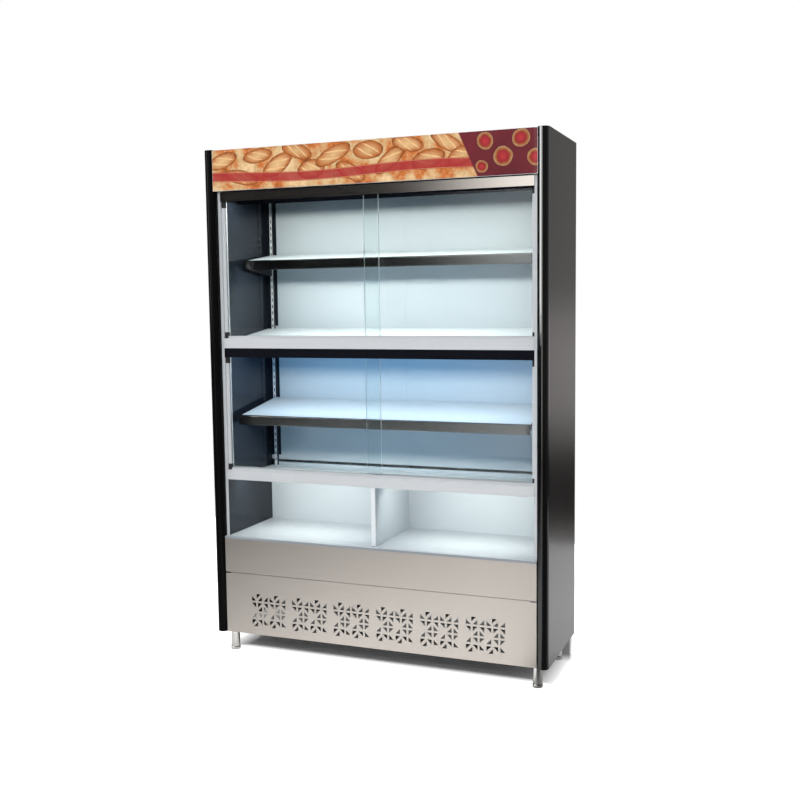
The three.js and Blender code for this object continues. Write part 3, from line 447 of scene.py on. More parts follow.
def header_print(name, low, high):
    """Plain bread pattern: a warm field of scored loaves, a waving ribbon and a berry-red end"""
    tone = colours()
    made = Finish(name, Roughness=0.35, Specular_IOR_Level=0.3)
    width, height = high.x - low.x, high.z - low.z
    depth = (low.y + high.y) / 2
    blur = made.node("TexNoise", {"Vector": made.place, "Scale": 24.0, "Detail": 3.0})
    shift = made.node("VectorMath", {0: blur.outputs[1], 1: (-0.5, -0.5, -0.5)}, operation="ADD")
    shift = made.node("VectorMath", {0: shift.outputs[0], "Scale": 0.010}, operation="SCALE")
    warped = made.node("VectorMath", {0: made.place, 1: shift.outputs[0]}, operation="ADD").outputs[0]
    crumb = made.noise(90.0, 5.0, 0.6)

    def motif(across, up, half_length, half_height, turn):
        """Coordinates in a motif's own oval, and the distance from its middle"""
        inputs = {
            "Vector": warped,
            "Location": (low.x + across * width, depth, low.z + up * height),
            "Rotation": (0.0, math.radians(-turn), 0.0),
            "Scale": (half_length * MM, 1.0, half_height * MM),
        }
        local = made.node("Mapping", inputs, vector_type="TEXTURE").outputs[0]
        return local, made.node("VectorMath", {0: local}, operation="LENGTH").outputs[1]

    field = [
        (0.3, tinted(tone.crust, 0.45)), (0.42, tinted(tone.crust, 1.3)),
        (0.52, tinted(tone.cream, 0.85)), (0.7, (1.0, 0.72, 0.42)),
    ]
    colour = made.ramp(made.noise(16.0, 6.0, 0.62), field)
    for across, up, half_length, half_height, turn, dark in LOAVES:
        local, reach = motif(across, up, half_length, half_height, turn)
        dusted = tinted(tone.cream, 1.04 - 0.25 * dark)
        golden = tuple(a + (b - a) * (0.35 + 0.4 * dark) for a, b in zip(tone.cream, tone.crust))
        stops = [(0.0, dusted), (0.55, golden), (0.86, tone.crust), (1.0, tinted(tone.crust, 0.3))]
        loaf = made.ramp(made.maths("ADD", reach, made.spread(crumb, 0.3, 0.7, -0.1, 0.1)), stops)
        bands = {"Vector": local, "Scale": 0.75, "Distortion": 1.2}
        bands = made.node("TexWave", bands, bands_direction="DIAGONAL").outputs[1]
        score = made.times(made.spread(bands, 0.82, 0.97), made.spread(reach, 0.85, 0.6))
        loaf = made.mix(score, loaf, tinted(tone.cream, 1.08))
        colour = made.mix(made.spread(reach, 1.02, 0.96), colour, loaf)
    x, _, z = made.split(made.place)
    sway = made.times(made.maths("SINE", made.times(x, 7.0)), 0.007)
    level = made.maths("SUBTRACT", z, sway)
    middle = low.z + 0.30 * height
    away = made.maths("ABSOLUTE", made.maths("SUBTRACT", level, middle))
    band = made.spread(away, 0.0172, 0.0160)
    ribbon = made.mix(made.noise(30.0, 3.0), tinted(tone.ribbon, 0.8), tinted(tone.ribbon, 1.15))
    rim = made.times(made.spread(away, 0.0137, 0.0143), made.spread(away, 0.0160, 0.0152))
    ribbon = made.mix(made.times(rim, 0.55), ribbon, tinted(tone.cream, 0.95))
    colour = made.mix(made.times(band, 0.9), colour, ribbon)
    slant = made.maths("ADD", x, made.times(z, 0.45))
    edge = low.x + 0.815 * width + 0.45 * middle
    berry = made.mix(made.noise(11.0, 3.0), tinted(tone.berry, 0.55), tinted(tone.berry, 1.6))
    for across, up, radius in TARTS:
        _, reach = motif(across, up, radius, radius, 0)
        stops = [
            (0.0, tinted(tone.ribbon, 1.25)), (0.6, tinted(tone.ribbon, 0.7)),
            (0.74, tinted(tone.crust, 0.75)), (1.0, tinted(tone.cream, 0.55)),
        ]
        tart = made.ramp(made.maths("ADD", reach, made.spread(crumb, 0.3, 0.7, -0.06, 0.06)), stops)
        berry = made.mix(made.spread(reach, 1.02, 0.97), berry, tart)
    colour = made.mix(made.spread(slant, edge, edge + 0.004), colour, berry)
    speckle = made.mix(made.spread(crumb, 0.35, 0.65), (0.6, 0.57, 0.55), (1.0, 1.0, 1.0))
    made.set("Base Color", made.mix(0.35, colour, speckle, "MULTIPLY"))
    made.relief(made.noise(9.0, 1.0), 0.03, 0.001)


def seen_and_mirrored(shades):
    """Two switches: for what the camera sees, also through glass, and for what a mirror shows it"""
    path = shades.node("LightPath").outputs
    direct = shades.maths("LESS_THAN", path["Diffuse Depth"], 0.5)
    unmirrored = shades.maths("LESS_THAN", path["Glossy Depth"], 0.5)
    through = shades.times(path["Is Transmission Ray"], direct)
    seen = shades.most(path["Is Camera Ray"], shades.times(through, unmirrored))
    held = shades.times(through, shades.maths("SUBTRACT", 1.0, unmirrored))
    return seen, shades.most(path["Is Glossy Ray"], held)


# What mirrors lose of the floor between its left and right limits: place as a share, loss
MIRROR_LOSS = ((0.0, 1.0), (0.28, 0.97), (0.38, 0.66), (0.58, 0.42), (0.76, 0.18), (0.8, 0.96), (1.0, 0.98))
MIRROR_LIMITS = (-3.0, 1.5)
# Slopes of the lines along which the camera sees past the case's right and left sides
RIGHT_SIGHT = 0.212
LEFT_SIGHT = 0.623


def floor_paint(name):
    """Pale seamless floor that turns white away from the case and keeps the case's shadow under it, with
    painted light that lifts the shadow beside and before the case and a painted shade behind it
    """
    made = Finish(name, Roughness=0.75, Specular_IOR_Level=0.1)
    made.set("Base Color", made.mix(made.noise(2.0, 3.0), (0.80, 0.80, 0.80), (0.84, 0.84, 0.84)))
    x, y, _ = made.split(made.place)
    seen, mirrored = seen_and_mirrored(made)
    # The floor glows white beside the case and past its right side, before it and under its front, and well
    # behind it; there the glow also lifts the case's shadow, as painted light
    across = made.maths("ABSOLUTE", x)
    past = made.spread(made.maths("ADD", x, made.times(y, RIGHT_SIGHT)), 0.65, 0.69)
    past = made.times(past, made.spread(y, 0.08, 0.14))
    beside = made.most(made.spread(across, 0.55, 0.67), past)
    under = made.spread(across, 0.66, 0.60)
    before = made.most(made.spread(y, -0.21, -0.7), made.times(under, made.spread(y, -0.085, -0.125)))
    clear = made.most(beside, before, made.spread(y, 0.75, 1.6))
    glow = made.most(made.times(clear, mirrored), made.times(clear, seen, 2.0))
    lifted = made.node("Emission", {"Strength": made.times(glow, 0.55)})
    lit = made.node("AddShader", {0: made.shader.outputs[0], 1: lifted.outputs[0]})
    # What mirrors lose: little just before the case, an even share behind its front
    stops = [(place, (share,) * 3) for place, share in MIRROR_LOSS]
    loss = made.ramp(made.spread(x, *MIRROR_LIMITS), stops)
    near = made.times(made.spread(x, -1.0, -0.25), made.maths("LESS_THAN", x, 0.5))
    loss = made.mix(made.times(near, made.spread(y, -1.5, -0.6)), loss, (0.0, 0.0, 0.0))
    loss = made.mix(made.spread(y, -0.3, 0.1), loss, (0.38, 0.38, 0.38))
    # Painted shade on the floor behind the case, seen through the vents
    left = made.spread(made.maths("ADD", x, made.times(y, LEFT_SIGHT)), -0.74, -0.69)
    deep = made.times(made.spread(y, 0.12, 0.2), made.spread(y, 0.9, 0.6))
    shade = made.times(deep, left, made.spread(past, 0.3, 0.0), seen, 0.85)
    dark = made.node("Emission", {"Strength": 0.0})
    hidden = made.most(made.times(loss, mirrored), shade)
    both = made.node("MixShader", {0: hidden, 1: lit.outputs[0], 2: dark.outputs[0]})
    made.links.new(both.outputs[0], made.output.inputs[0])


# Mesh helpers


def bevel(mesh, edges, width, segments=2):
    bmesh.ops.bevel(
        mesh, geom=edges, offset=width, offset_type="OFFSET", affect="EDGES",
        segments=segments, profile=0.5, material=-1, clamp_overlap=True,
    )


def box_mesh(low, high):
    """A bmesh with one box between two corners"""
    mesh = bmesh.new()
    size = Vector(high) - Vector(low)
    place = Matrix.Translation((Vector(low) + Vector(high)) / 2) @ Matrix.Diagonal((*size, 1.0))
    bmesh.ops.create_cube(mesh, size=1.0, matrix=place)
    return mesh


def lift(mesh, faces, step):
    """Extrudes faces along a step"""
    made = bmesh.ops.extrude_face_region(mesh, geom=faces)["geom"]
    points = [item for item in made if isinstance(item, bmesh.types.BMVert)]
    bmesh.ops.translate(mesh, verts=points, vec=step)


def hollow(mesh, faces, rim, step, even=True):
    """Sinks faces by a step and leaves a rim round them"""
    bmesh.ops.inset_region(mesh, faces=faces, thickness=rim, use_even_offset=even)
    lift(mesh, faces, step)
    bmesh.ops.delete(mesh, geom=[face for face in faces if face.is_valid], context="FACES_ONLY")


def finished(name, mesh, looks, body, smooth=None):
    """Turns a bmesh into a piece with the named finishes that rides on a body"""
    bmesh.ops.remove_doubles(mesh, verts=mesh.verts, dist=TINY)
    bmesh.ops.recalc_face_normals(mesh, faces=mesh.faces)
    data = bpy.data.meshes.new(name)
    mesh.to_mesh(data)
    mesh.free()
    for finish in looks:
        data.materials.append(finishes[finish])
    piece = bpy.data.objects.new(name, data)
    bpy.context.scene.collection.objects.link(piece)
    if smooth is not None:
        data.shade_smooth()
        data.set_sharp_from_angle(angle=math.radians(smooth))
    if body:
        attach(piece, body)
    return piece


def area_lamp(name, place, width, height, watts, unseen=("glossy",), colour=(1.0, 1.0, 1.0)):
    """A rectangular lamp that some kinds of ray don't see"""
    lamp = bpy.data.lights.new(name, "AREA")
    lamp.shape = "RECTANGLE"
    lamp.size, lamp.size_y = width, height
    lamp.energy = watts
    lamp.color = colour
    holder = bpy.data.objects.new(name, lamp)
    bpy.context.scene.collection.objects.link(holder)
    holder.matrix_world = place
    for ray in unseen:
        setattr(holder, f"visible_{ray}", False)


# Operators


class CASE_OT_finishes(bpy.types.Operator):
    """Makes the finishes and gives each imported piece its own"""

    bl_idname = "display_case.finishes"
    bl_label = "Finishes"

    # Painted shade at the ends of the shelf fronts: axis, start and end in metres, tone
    front_end_painted_shade = (
        (0, -0.55, -0.53, 0.25), (0, -0.53, -0.515, 0.45), (0, -0.515, -0.5, 0.7), (0, 0.536, 0.55, 0.3),
    )
    # Depth of the painted shade on the rails' top edge, and from their fronts the depth of the uprights'
    # bright face, of the brackets' lip before their painted shade, of the bottom deck's trim and of the
    # divider's painted bright edge
    rail_top_shade_depth = 0.4 * MM
    upright_face = 0.3 * MM
    bracket_lip = 7 * MM
    deck_trim = 0.5 * MM
    divider_painted_light = 20.5 * MM
    # Finishes that aren't their material slot's, by words in the nodes' names
    special = (
        ("upright", "slotted_upright"), ("jamb", "upright_aluminium"), ("door_edge", "upright_aluminium"),
        ("upper_bracket", "upper_bracket"), ("lower_bracket", "lower_bracket"),
        ("header_floor", "track_black"), ("middle_top_track", "track_black"),
        ("valance", "valance_stainless"), ("top_panel", "top_paint"), ("sign_panel", "header_sheet"),
    )

    def execute(self, context):
        tone = colours()
        tops = [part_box(rail)[1].z for rail in ("mid_rail", "lower_rail")]
        # Painted shade: the rails' top faces, and the top 0.4 mm of their fronts, are darker
        rail_top_painted_shade = [(2, top - self.rail_top_shade_depth, top + MM, 0.4) for top in tops]
        upright_sides = [(1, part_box("upright_left")[0].y + self.upright_face, BEYOND, 0.03)]
        deck_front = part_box("bottom_deck")[0].y
        powder_coat("body_paint", tone.body, 0.2)
        powder_coat("top_paint", tinted(tone.body, 3.0), 0.6)
        gloss_coat("post_black", tone.post)
        liner_coat("liner_paint", tone.liner)
        white_coat("white_paint", tone.white, deck_front + self.deck_trim, deck_front + self.divider_painted_light)
        brushed_sheet("stainless", tone.stainless, 0.3)
        anodised("satin_aluminium", tone.aluminium, 0.45, 0.25, shaded=rail_top_painted_shade)
        anodised("dark_profile", tone.dark_profile, 0.15, 1.0, shaded=self.front_end_painted_shade)
        zinc_coat("galvanised", tone.zinc)
        anodised("header_sheet", tone.aluminium, 0.4)
        clear_pane("clear_glass")
        strip_body("lamp_body")
        moulded_black("black_plastic")
        polished_tube("polished")
        anodised("upright_aluminium", tone.aluminium, 0.45, 0.25, ALONG_Z)
        for level in ("upper", "lower"):
            # Painted shade: behind their lips the brackets are near black
            painted_shade_behind_lips = [(1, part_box(f"{level}_bracket_left")[0].y + self.bracket_lip, BEYOND, 0.012)]
            anodised(f"{level}_bracket", tone.aluminium, 0.45, 0.0, shaded=painted_shade_behind_lips)
        anodised("slotted_upright", tone.aluminium, 0.45, 0.25, ALONG_Z, upright_sides)
        moulded_black("track_black", (0.008, 0.0085, 0.0125), 0.6, 0.0)
        brushed_sheet("valance_stainless", tone.stainless, 0.12, 1.0)
        ground_edge("glass_edge")
        frosted_strip("diffuser", tone.light)
        moulded_black("runner_plastic", (0.02, 0.02, 0.021), 0.42)
        for entry in frame["record"]["subparts"]:
            name, finish = entry["node"], entry["material_slot"]
            for words, own in self.special:
                if words in name:
                    finish = own
            for held in frame["nodes"][name].material_slots:
                held.material = finishes[finish]
        return {"FINISHED"}


class CASE_OT_posts(bpy.types.Operator):
    """Smooth hollow half-round corner posts"""

    bl_idname = "display_case.posts"
    bl_label = "Corner posts"

    # Facets of the half round
    steps = 48

    def execute(self, context):
        size = sizes()
        for side, _ in SIDES:
            node = f"post_{side}"
            low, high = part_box(node)
            centre = Vector(((low.x + high.x) / 2, high.y, low.z))
            radius = (high.x - low.x) / 2
            mesh = bmesh.new()
            first = mesh.verts.new(centre + Vector((-radius, 0.0, 0.0)))
            bmesh.ops.spin(
                mesh, geom=[first], cent=centre, axis=(0, 0, 1), angle=math.pi,
                steps=self.steps, use_duplicate=False,
            )
            foot = bmesh.ops.contextual_create(mesh, geom=mesh.edges[:])["faces"]
            lift(mesh, foot, (0, 0, high.z - low.z))
            hollow(mesh, foot, size.post_wall, (0, 0, high.z - low.z - size.post_wall))
            above = {vert for vert in mesh.verts if abs(vert.co.z - high.z) < TINY}
            rim = [edge for edge in mesh.edges if above.issuperset(edge.verts)]
            bevel(mesh, rim, size.post_round)
            piece = finished(f"{node}_gloss", mesh, ["post_black"], "carcass", smooth=10)
            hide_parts(node)
        return {"FINISHED"}


class CASE_OT_legs_and_feet(bpy.types.Operator):
    """Turned legs with their levelling feet"""

    bl_idname = "display_case.legs_and_feet"
    bl_label = "Legs and feet"

    # Profiles from the bottom up: radius and height in millimetres
    leg = (
        (0, 57), (14.375, 57), (14.375, 13), (15.4, 13), (15.875, 13.5), (15.875, 79.2), (15.375, 79.7),
        (9, 79.7), (9, 81.5), (6, 81.5), (6, 96.7), (5.2, 97.5), (0, 97.5),
    )
    foot = (
        (0, 0), (15, 0), (16.6, 0.5), (17.4, 1.8), (17.5, 3), (17.5, 9.6), (17.2, 11.2), (16.2, 12.4),
        (15.2, 12.7), (13.775, 12.7), (13.775, 44.2), (13.3, 44.7), (0, 44.7),
    )

    def turned(self, name, centre, profile, body, node):
        mesh = bmesh.new()
        points = [mesh.verts.new((centre.x + r * MM, centre.y, z * MM)) for r, z in profile]
        edges = [mesh.edges.new(pair) for pair in zip(points, points[1:])]
        bmesh.ops.spin(
            mesh, geom=points + edges, cent=centre, axis=(0, 0, 1), angle=2 * math.pi,
            steps=sizes().round_steps, use_merge=True, use_duplicate=False,
        )
        piece = finished(name, mesh, ["polished"], body, smooth=40)
        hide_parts(node)

    def execute(self, context):
        for row in ("front", "rear"):
            for side, _ in SIDES:
                leg, foot = f"leg_{row}_{side}", f"foot_{row}_{side}"
                low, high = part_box(leg)
                centre = Vector(((low.x + high.x) / 2, (low.y + high.y) / 2, 0.0))
                self.turned(f"{leg}_tube", centre, self.leg, "carcass", leg)
                self.turned(f"{foot}_pad", centre, self.foot, foot, foot)
        return {"FINISHED"}


class CASE_OT_header_print(bpy.types.Operator):
    """Printed film on the header panel"""

    bl_idname = "display_case.header_print"
    bl_label = "Header print"

    corner = 2 * MM

    def execute(self, context):
        size = sizes()
        margin, thickness = size.film_margin, size.film_thickness
        low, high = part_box("sign_panel")
        low = Vector((low.x + margin, low.y - thickness, low.z + margin))
        high = Vector((high.x - margin, low.y + thickness, high.z - margin))
        mesh = box_mesh(low, high)
        corners = [edge for edge in mesh.edges if abs(edge.verts[0].co.y - edge.verts[1].co.y) > TINY]
        bevel(mesh, corners, self.corner, 4)
        header_print("header_film", low, high)
        finished("header_film", mesh, ["header_film"], "carcass")
        return {"FINISHED"}


class CASE_OT_panes(bpy.types.Operator):
    """Door panes with ground edges"""

    bl_idname = "display_case.panes"
    bl_label = "Door panes"

    def execute(self, context):
        for level in LEVELS:
            for side, _ in SIDES:
                door = f"{level}_{side}_door"
                low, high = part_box(f"{door}_glass")
                mesh = box_mesh(low, high)
                edges = [edge for edge in mesh.edges if abs(edge.verts[0].co.y - edge.verts[1].co.y) < TINY]
                bevel(mesh, edges, sizes().pane_arris, 1)
                for face in mesh.faces:
                    face.material_index = 0 if abs(face.normal.y) > 0.99 else 1
                piece = finished(f"{door}_pane", mesh, ["clear_glass", "glass_edge"], door)
                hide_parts(f"{door}_glass")
        return {"FINISHED"}


class CASE_OT_end_blocks(bpy.types.Operator):
    """Black blocks over and under each grip profile"""

    bl_idname = "display_case.end_blocks"
    bl_label = "End blocks"

    # Play of the pane in the slot, wall behind the pane, arris, and length up to which edges stay sharp
    play = 0.3 * MM
    wall = 1.5 * MM
    arris = 0.4 * MM
    sharp = 3 * MM

    def execute(self, context):
        size = sizes()
        for level in LEVELS:
            for side, sign in SIDES:
                door = f"{level}_{side}_door"
                low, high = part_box(f"{door}_edge")
                glass_low, glass_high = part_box(f"{door}_glass")
                outer, inner = (high.x, low.x) if sign > 0 else (low.x, high.x)
                near, far = glass_low.y - self.play, glass_high.y + self.play
                seat = outer - sign * self.wall
                outline = (
                    (outer, low.y), (outer, high.y), (inner, high.y), (inner, far),
                    (seat, far), (seat, near), (inner, near), (inner, low.y),
                )
                for place, z, rise in (("foot", low.z, -1), ("head", high.z, 1)):
                    mesh = bmesh.new()
                    section = mesh.faces.new([mesh.verts.new((*point, z)) for point in outline])
                    lift(mesh, [section], (0, 0, rise * size.block_height))
                    bmesh.ops.recalc_face_normals(mesh, faces=mesh.faces)
                    corners = [edge for edge in mesh.edges if edge.calc_face_angle(0) > 0.5]
                    bevel(mesh, [edge for edge in corners if edge.calc_length() > self.sharp], self.arris)
                    name = f"{door}_{place}_block"
                    finished(name, mesh, ["runner_plastic"], door, smooth=30)
        return {"FINISHED"}


class CASE_OT_light_strips(bpy.types.Operator):
    """Channels with recessed diffusers, and the lamps that stand for their light"""

    bl_idname = "display_case.light_strips"
    bl_label = "Light strips"

    # Strip, its diffuser's recess in millimetres, its lamp's turn to the rear in degrees, and its
    # power's share
    strips = (
        ("header_lamp", 1.9, 13, 1.08), ("middle_lamp", 3.3, 20, 0.56), ("bottom_lamp", 1.0, 54, 0.66),
    )
    # Where the bottom strip's lamp leaves the divider free, in metres
    divided = ((-0.55, -0.06), (0.08, 0.55))
    # Shelf, place of its front top edge, rise and depth of its plane in millimetres, then as above
    shelves = (
        ("upper", -75.5, 1441.0, 30.0, 222.7, 5.0, 0, 1.0),
        ("lower", -134.5, 876.0, 45.0, 281.7, 8.2, 2, 0.8),
    )
    # A shelf's strip in its sloping plane: start behind the front edge, width, top and height
    shelf_strip = (19.8 * MM, 18 * MM, -1.8 * MM, 9 * MM)
    diffuser_thickness = 1.5 * MM
    diffuser_arris = 0.4 * MM
    play = 0.1 * MM
    # Lamps that stand for a strip's light: drop under the diffuser, width, and free ends
    lamp_drop = 0.8 * MM
    lamp_width = 2.5 * MM
    lamp_margin = 10 * MM
    # Bottom and top of each bay's cool light from the room in millimetres, and its power's share
    bays = ((1170, 1400, 0.6), (1480, 1650, 0.25), (700, 840, 1.6), (930, 1090, 4.8), (445, 640, 0.4))
    bay_front = -0.14
    bay_width = 1.1

    def strip(self, name, x, y, top, height, turn, recess, tilt, watts):
        wall = sizes().strip_wall
        recess = recess * MM
        mesh = box_mesh((x[0], y[0], top - height), (x[1], y[1], top))
        under = [face for face in mesh.faces if face.normal.z < -0.9]
        hollow(mesh, under, wall, (0, 0, recess + self.diffuser_thickness + self.play))
        bmesh.ops.transform(mesh, matrix=turn, verts=mesh.verts)
        channel = finished(f"{name}_channel", mesh, ["lamp_body"], "carcass")
        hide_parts(name)
        inset = wall + self.play
        face = top - height + recess
        low = (x[0] + inset, y[0] + inset, face)
        high = (x[1] - inset, y[1] - inset, face + self.diffuser_thickness)
        mesh = box_mesh(low, high)
        bevel(mesh, mesh.edges[:], self.diffuser_arris)
        bmesh.ops.transform(mesh, matrix=turn, verts=mesh.verts)
        finished(f"{name}_diffuser", mesh, ["diffuser"], "carcass")
        whole = ((x[0] + self.lamp_margin, x[1] - self.lamp_margin),)
        spans = self.divided if name == "bottom_lamp" else whole
        for index, (start, end) in enumerate(spans):
            middle = turn @ Vector(((start + end) / 2, (y[0] + y[1]) / 2, face - self.lamp_drop))
            place = Matrix.Translation(middle) @ Matrix.Rotation(math.radians(tilt), 4, "X")
            lamp, share = f"{name}_light_{index}", watts / len(spans)
            area_lamp(lamp, place, end - start, self.lamp_width, share, colour=colours().light)

    def execute(self, context):
        settings = stage_settings()
        for name, recess, tilt, share in self.strips:
            low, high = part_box(name)
            x, y, watts = (low.x, high.x), (low.y, high.y), settings.strip_power * share
            self.strip(name, x, y, high.z, high.z - low.z, Matrix.Identity(4), recess, tilt, watts)
        for shelf, front, height, rise, depth, recess, tilt, share in self.shelves:
            name = f"{shelf}_shelf_lamp"
            low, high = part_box(name)
            slope = Matrix.Rotation(math.atan2(rise, depth), 4, "X")
            turn = Matrix.Translation((0, front * MM, height * MM)) @ slope
            start, width, top, thickness = self.shelf_strip
            x, y, watts = (low.x, high.x), (start, start + width), settings.strip_power * share
            self.strip(name, x, y, top, thickness, turn, recess, tilt, watts)
        for index, (low, high, share) in enumerate(self.bays):
            middle = Matrix.Translation((0, self.bay_front, (low + high) / 2 * MM))
            place = middle @ Matrix.Rotation(math.pi / 2, 4, "X")
            name, height, watts = f"bay_{index}_fill", (high - low) * MM, settings.fill_power * share
            unseen = ("glossy", "camera", "transmission")
            area_lamp(name, place, self.bay_width, height, watts, unseen, colours().fill)
        return {"FINISHED"}


class CASE_OT_fasteners(bpy.types.Operator):
    """Pan-head screws round the back panels"""

    bl_idname = "display_case.fasteners"
    bl_label = "Fasteners"

    # Distance of the screws from a panel's edges, and of the outer rows' end screws
    margin = 9 * MM
    end_margin = 40 * MM
    # Screws up each side of the back panel, and the parts that its width is cut into by the others
    rows = 7
    columns = 5
    # Shares of a head's radius and height: top of its dome, rim of its recess and depth of the recess
    dome = 0.72
    rim = 0.3
    recess = 0.45
    facets = 20

    def screw(self, mesh, x, y, z):
        size = sizes()
        place = Matrix.Translation((x, y + size.screw_height / 2, z))
        place = place @ Matrix.Rotation(-math.pi / 2, 4, "X")
        made = bmesh.ops.create_cone(
            mesh, cap_ends=True, segments=self.facets, radius1=size.screw_radius,
            radius2=size.screw_radius * self.dome, depth=size.screw_height, matrix=place,
        )["verts"]
        around = {face for vert in made for face in vert.link_faces}
        top = [face for face in around if face.normal.y > 0.9 and len(face.verts) > 4]
        step = (0, -size.screw_height * self.recess, 0)
        hollow(mesh, top, size.screw_radius * self.rim, step, even=False)

    def execute(self, context):
        low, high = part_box("back_panel")
        cover_low, cover_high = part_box("service_cover")
        y, margin = high.y, self.margin
        mesh = bmesh.new()
        for index in range(self.rows):
            reach = high.z - low.z - 2 * self.end_margin
            z = low.z + self.end_margin + reach * index / (self.rows - 1)
            self.screw(mesh, low.x + margin, y, z)
            if z < cover_low.z - margin:
                self.screw(mesh, high.x - margin, y, z)
        for index in range(1, self.columns):
            x = low.x + (high.x - low.x) * index / self.columns
            self.screw(mesh, x, y, low.z + margin)
            if x < cover_low.x - margin:
                self.screw(mesh, x, y, high.z - margin)
        for x in (cover_low.x + margin, cover_high.x - margin):
            for z in (cover_low.z + margin, cover_high.z - margin):
                self.screw(mesh, x, y, z)
        finished("back_screws", mesh, ["polished"], "carcass", smooth=30)
        return {"FINISHED"}


class CASE_OT_stage(bpy.types.Operator):
    """Floor, studio lights, room light and camera"""

    bl_idname = "display_case.stage"
    bl_label = "Stage"

    # The room as metal and gloss mirror it: bearing from the front in degrees, strength
    around = (
        (-180, 0.008), (-63, 0.008), (-60, 4.8), (-42, 4.5), (-39, 0.015), (-20.3, 0.015),
        (-18.0, 0.8), (-15, 2.1), (-10, 2.0), (-6, 0.05), (40, 0.03), (90, 0.07), (120, 0.25), (180, 0.3),
    )
    # The same behind the case by its height over the horizon
    rear = (
        (-40, 0.8), (-13.8, 0.8), (-13.0, 0.2), (-12.3, 0.02), (-9.0, 0.03), (-7.4, 0.3), (-6.0, 0.56),
        (-3.0, 0.6), (-1.2, 0.52), (0.2, 0.28), (20, 0.24), (40, 0.5), (90, 0.9),
    )
    floor_middle = (0.0, -1.55, 0.0)
    floor_reach = 3.45
    sensor_width = 36.0
    # Softbox, place, aim, width, height, and its power as a share of the key's
    softboxes = (
        ("front_softbox", (-0.4, -4.2, 3.0), (0.0, 0.0, 0.9), 2.4, 1.6, 1.0),
        ("right_softbox", (4.0, -1.2, 2.6), (0.0, 0.0, 0.9), 1.6, 2.2, 0.35),
        ("top_softbox", (0.0, 0.25, 4.2), (0.0, 0.1, 0.0), 2.2, 1.6, 2.0),
    )
    # The right post's highlight: ends of the strip of light that it mirrors, then bottom, top and
    # strength of the strip's parts
    highlight_ends = ((0.565, -0.24, 0.0), (0.511, -0.46, 0.0))
    highlight_parts = ((1.14, 1.18, 0.9), (1.18, 1.24, 2.34), (1.24, 2.2, 3.6))

    def by_angle(self, made, angle, strengths, colour):
        """A colour that follows strengths given by degrees"""
        low, high = strengths[0][0], strengths[-1][0]
        stops = [((degrees - low) / (high - low), tinted(colour, value)) for degrees, value in strengths]
        return made.ramp(made.spread(angle, low, high), stops)

    def room(self, strength):
        """White for the camera, an even light on matt surfaces, and a room of its own for mirrors"""
        world = bpy.data.worlds.new("studio")
        bpy.context.scene.world = world
        world.use_nodes = True
        world.cycles.sampling_method = "NONE"
        world.node_tree.nodes.clear()
        made = Shades(world.node_tree)
        x, y, z = made.split(made.node("TexCoord").outputs["Generated"])
        bearing = made.times(made.maths("ARCTAN2", x, made.times(y, -1.0)), 180 / math.pi)
        height = made.times(made.maths("ARCSINE", z), 180 / math.pi)
        peak = max(value for _, value in self.around)
        front = self.by_angle(made, bearing, self.around, (1.0 / peak,) * 3)
        front = made.node("VectorMath", {0: front, "Scale": peak}, operation="SCALE").outputs[0]
        # The mirrored window ends at the horizon
        fade = made.times(made.spread(height, -0.1, -2.4), made.spread(bearing, -22, -26))
        front = made.mix(fade, front, (0.015, 0.015, 0.015))
        back = self.by_angle(made, height, self.rear, (1.0, 0.95, 0.93))
        turned = made.most(made.spread(bearing, 110, 130), made.spread(bearing, -158, -172))
        reflected = made.node("Background", {"Color": made.mix(turned, front, back)})
        even = made.node("Background", {"Color": (1.0, 0.99, 0.98, 1.0), "Strength": strength})
        white = made.node("Background", {"Color": (1.0, 1.0, 1.0, 1.0)})
        seen, mirrored = seen_and_mirrored(made)
        lit = made.node("MixShader", {0: mirrored, 1: even.outputs[0], 2: reflected.outputs[0]})
        both = made.node("MixShader", {0: seen, 1: lit.outputs[0], 2: white.outputs[0]})
        made.node("OutputWorld", {"Surface": both.outputs[0]})

    def highlight(self):
        """Lamps that only mirrors show"""
        start, end = (Vector(place) for place in self.highlight_ends)
        along = (end - start).normalized()
        above = Vector((0.0, 0.0, 1.0))
        turn = Matrix((along, above, along.cross(above))).transposed().to_4x4()
        width = (end - start).length
        for index, (low, high, strength) in enumerate(self.highlight_parts):
            place = Matrix.Translation((start + end) / 2 + above * (low + high) / 2) @ turn
            watts = strength * math.pi * width * (high - low)
            unseen = ("camera", "diffuse", "transmission", "volume_scatter")
            area_lamp(f"post_lamp_{index}", place, width, high - low, watts, unseen)

    def camera(self, settings):
        lens = bpy.data.cameras.new("studio_camera")
        lens.lens = settings.lens
        lens.sensor_width = self.sensor_width
        holder = bpy.data.objects.new("studio_camera", lens)
        bpy.context.scene.collection.objects.link(holder)
        yaw, pitch, roll = settings.yaw, settings.pitch, settings.roll
        flat = math.cos(pitch)
        forward = Vector((-math.sin(yaw) * flat, math.cos(yaw) * flat, math.sin(pitch)))
        level = Vector((math.cos(yaw), math.sin(yaw), 0.0))
        above = level.cross(forward)
        right = level * math.cos(roll) + above * math.sin(roll)
        up = above * math.cos(roll) - level * math.sin(roll)
        turn = Matrix((right, up, -forward)).transposed().to_4x4()
        holder.matrix_world = Matrix.Translation(settings.place) @ turn
        bpy.context.scene.camera = holder

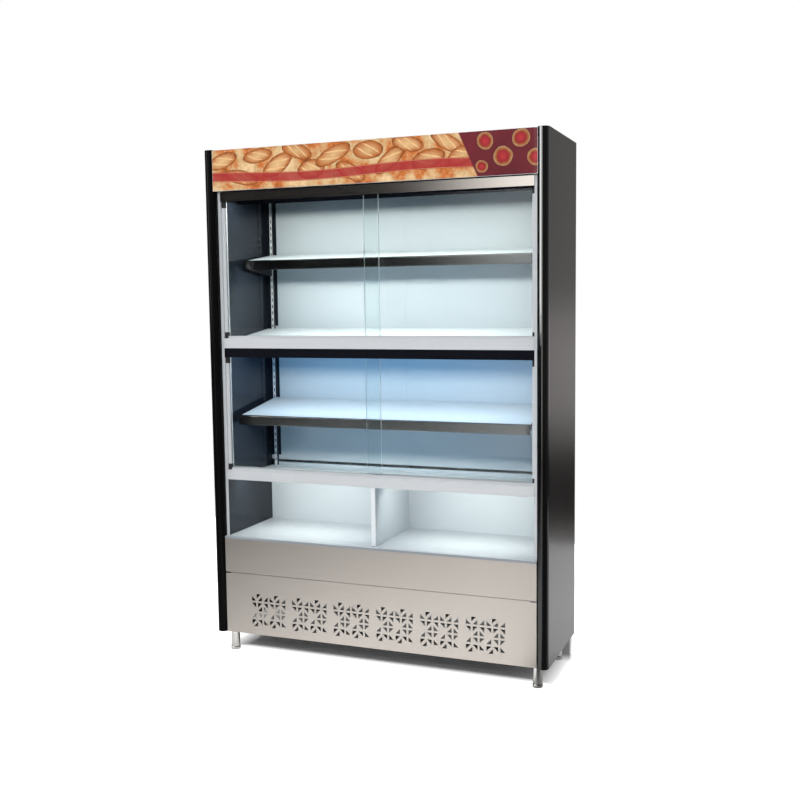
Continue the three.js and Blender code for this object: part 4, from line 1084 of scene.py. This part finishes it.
    def execute(self, context):
        settings = stage_settings()
        mesh = bmesh.new()
        place = Matrix.Translation(self.floor_middle)
        bmesh.ops.create_grid(mesh, x_segments=4, y_segments=4, size=self.floor_reach, matrix=place)
        floor_paint("studio_floor")
        floor = finished("studio_floor", mesh, ["studio_floor"], None)
        self.highlight()
        for name, place, aim, width, height, share in self.softboxes:
            turn = (Vector(aim) - Vector(place)).to_track_quat("-Z", "Y").to_matrix().to_4x4()
            place = Matrix.Translation(place) @ turn
            area_lamp(name, place, width, height, settings.key_power * share)
        self.room(settings.sky)
        self.camera(settings)
        context.scene.view_settings.view_transform = "Standard"
        return {"FINISHED"}


OPERATORS = (
    CASE_OT_finishes, CASE_OT_posts, CASE_OT_legs_and_feet, CASE_OT_header_print, CASE_OT_panes,
    CASE_OT_end_blocks, CASE_OT_light_strips, CASE_OT_fasteners, CASE_OT_stage,
)


class CASE_PT_sidebar(bpy.types.Panel):
    """Lists the case's makers"""

    bl_idname = "CASE_PT_sidebar"
    bl_label = "Display case"
    bl_space_type = "VIEW_3D"
    bl_region_type = "UI"
    bl_category = "Display case"

    def draw(self, context):
        for maker in OPERATORS:
            self.layout.operator(maker.bl_idname)
        for group in (context.scene.case_sizes, context.scene.case_colours, context.scene.case_stage):
            for name in group.__annotations__:
                self.layout.prop(group, name)


CLASSES = (CaseSizes, CaseColours, CaseStage, *OPERATORS, CASE_PT_sidebar)


def register():
    for made in CLASSES:
        bpy.utils.register_class(made)
    bpy.types.Scene.case_sizes = PointerProperty(type=CaseSizes)
    bpy.types.Scene.case_colours = PointerProperty(type=CaseColours)
    bpy.types.Scene.case_stage = PointerProperty(type=CaseStage)


def unregister():
    for name in ("case_sizes", "case_colours", "case_stage"):
        delattr(bpy.types.Scene, name)
    for made in reversed(CLASSES):
        bpy.utils.unregister_class(made)


def main():
    register()
    for maker in OPERATORS:
        group, _, name = maker.bl_idname.partition(".")
        getattr(getattr(bpy.ops, group), name)()


if __name__ == "__main__":
    main()
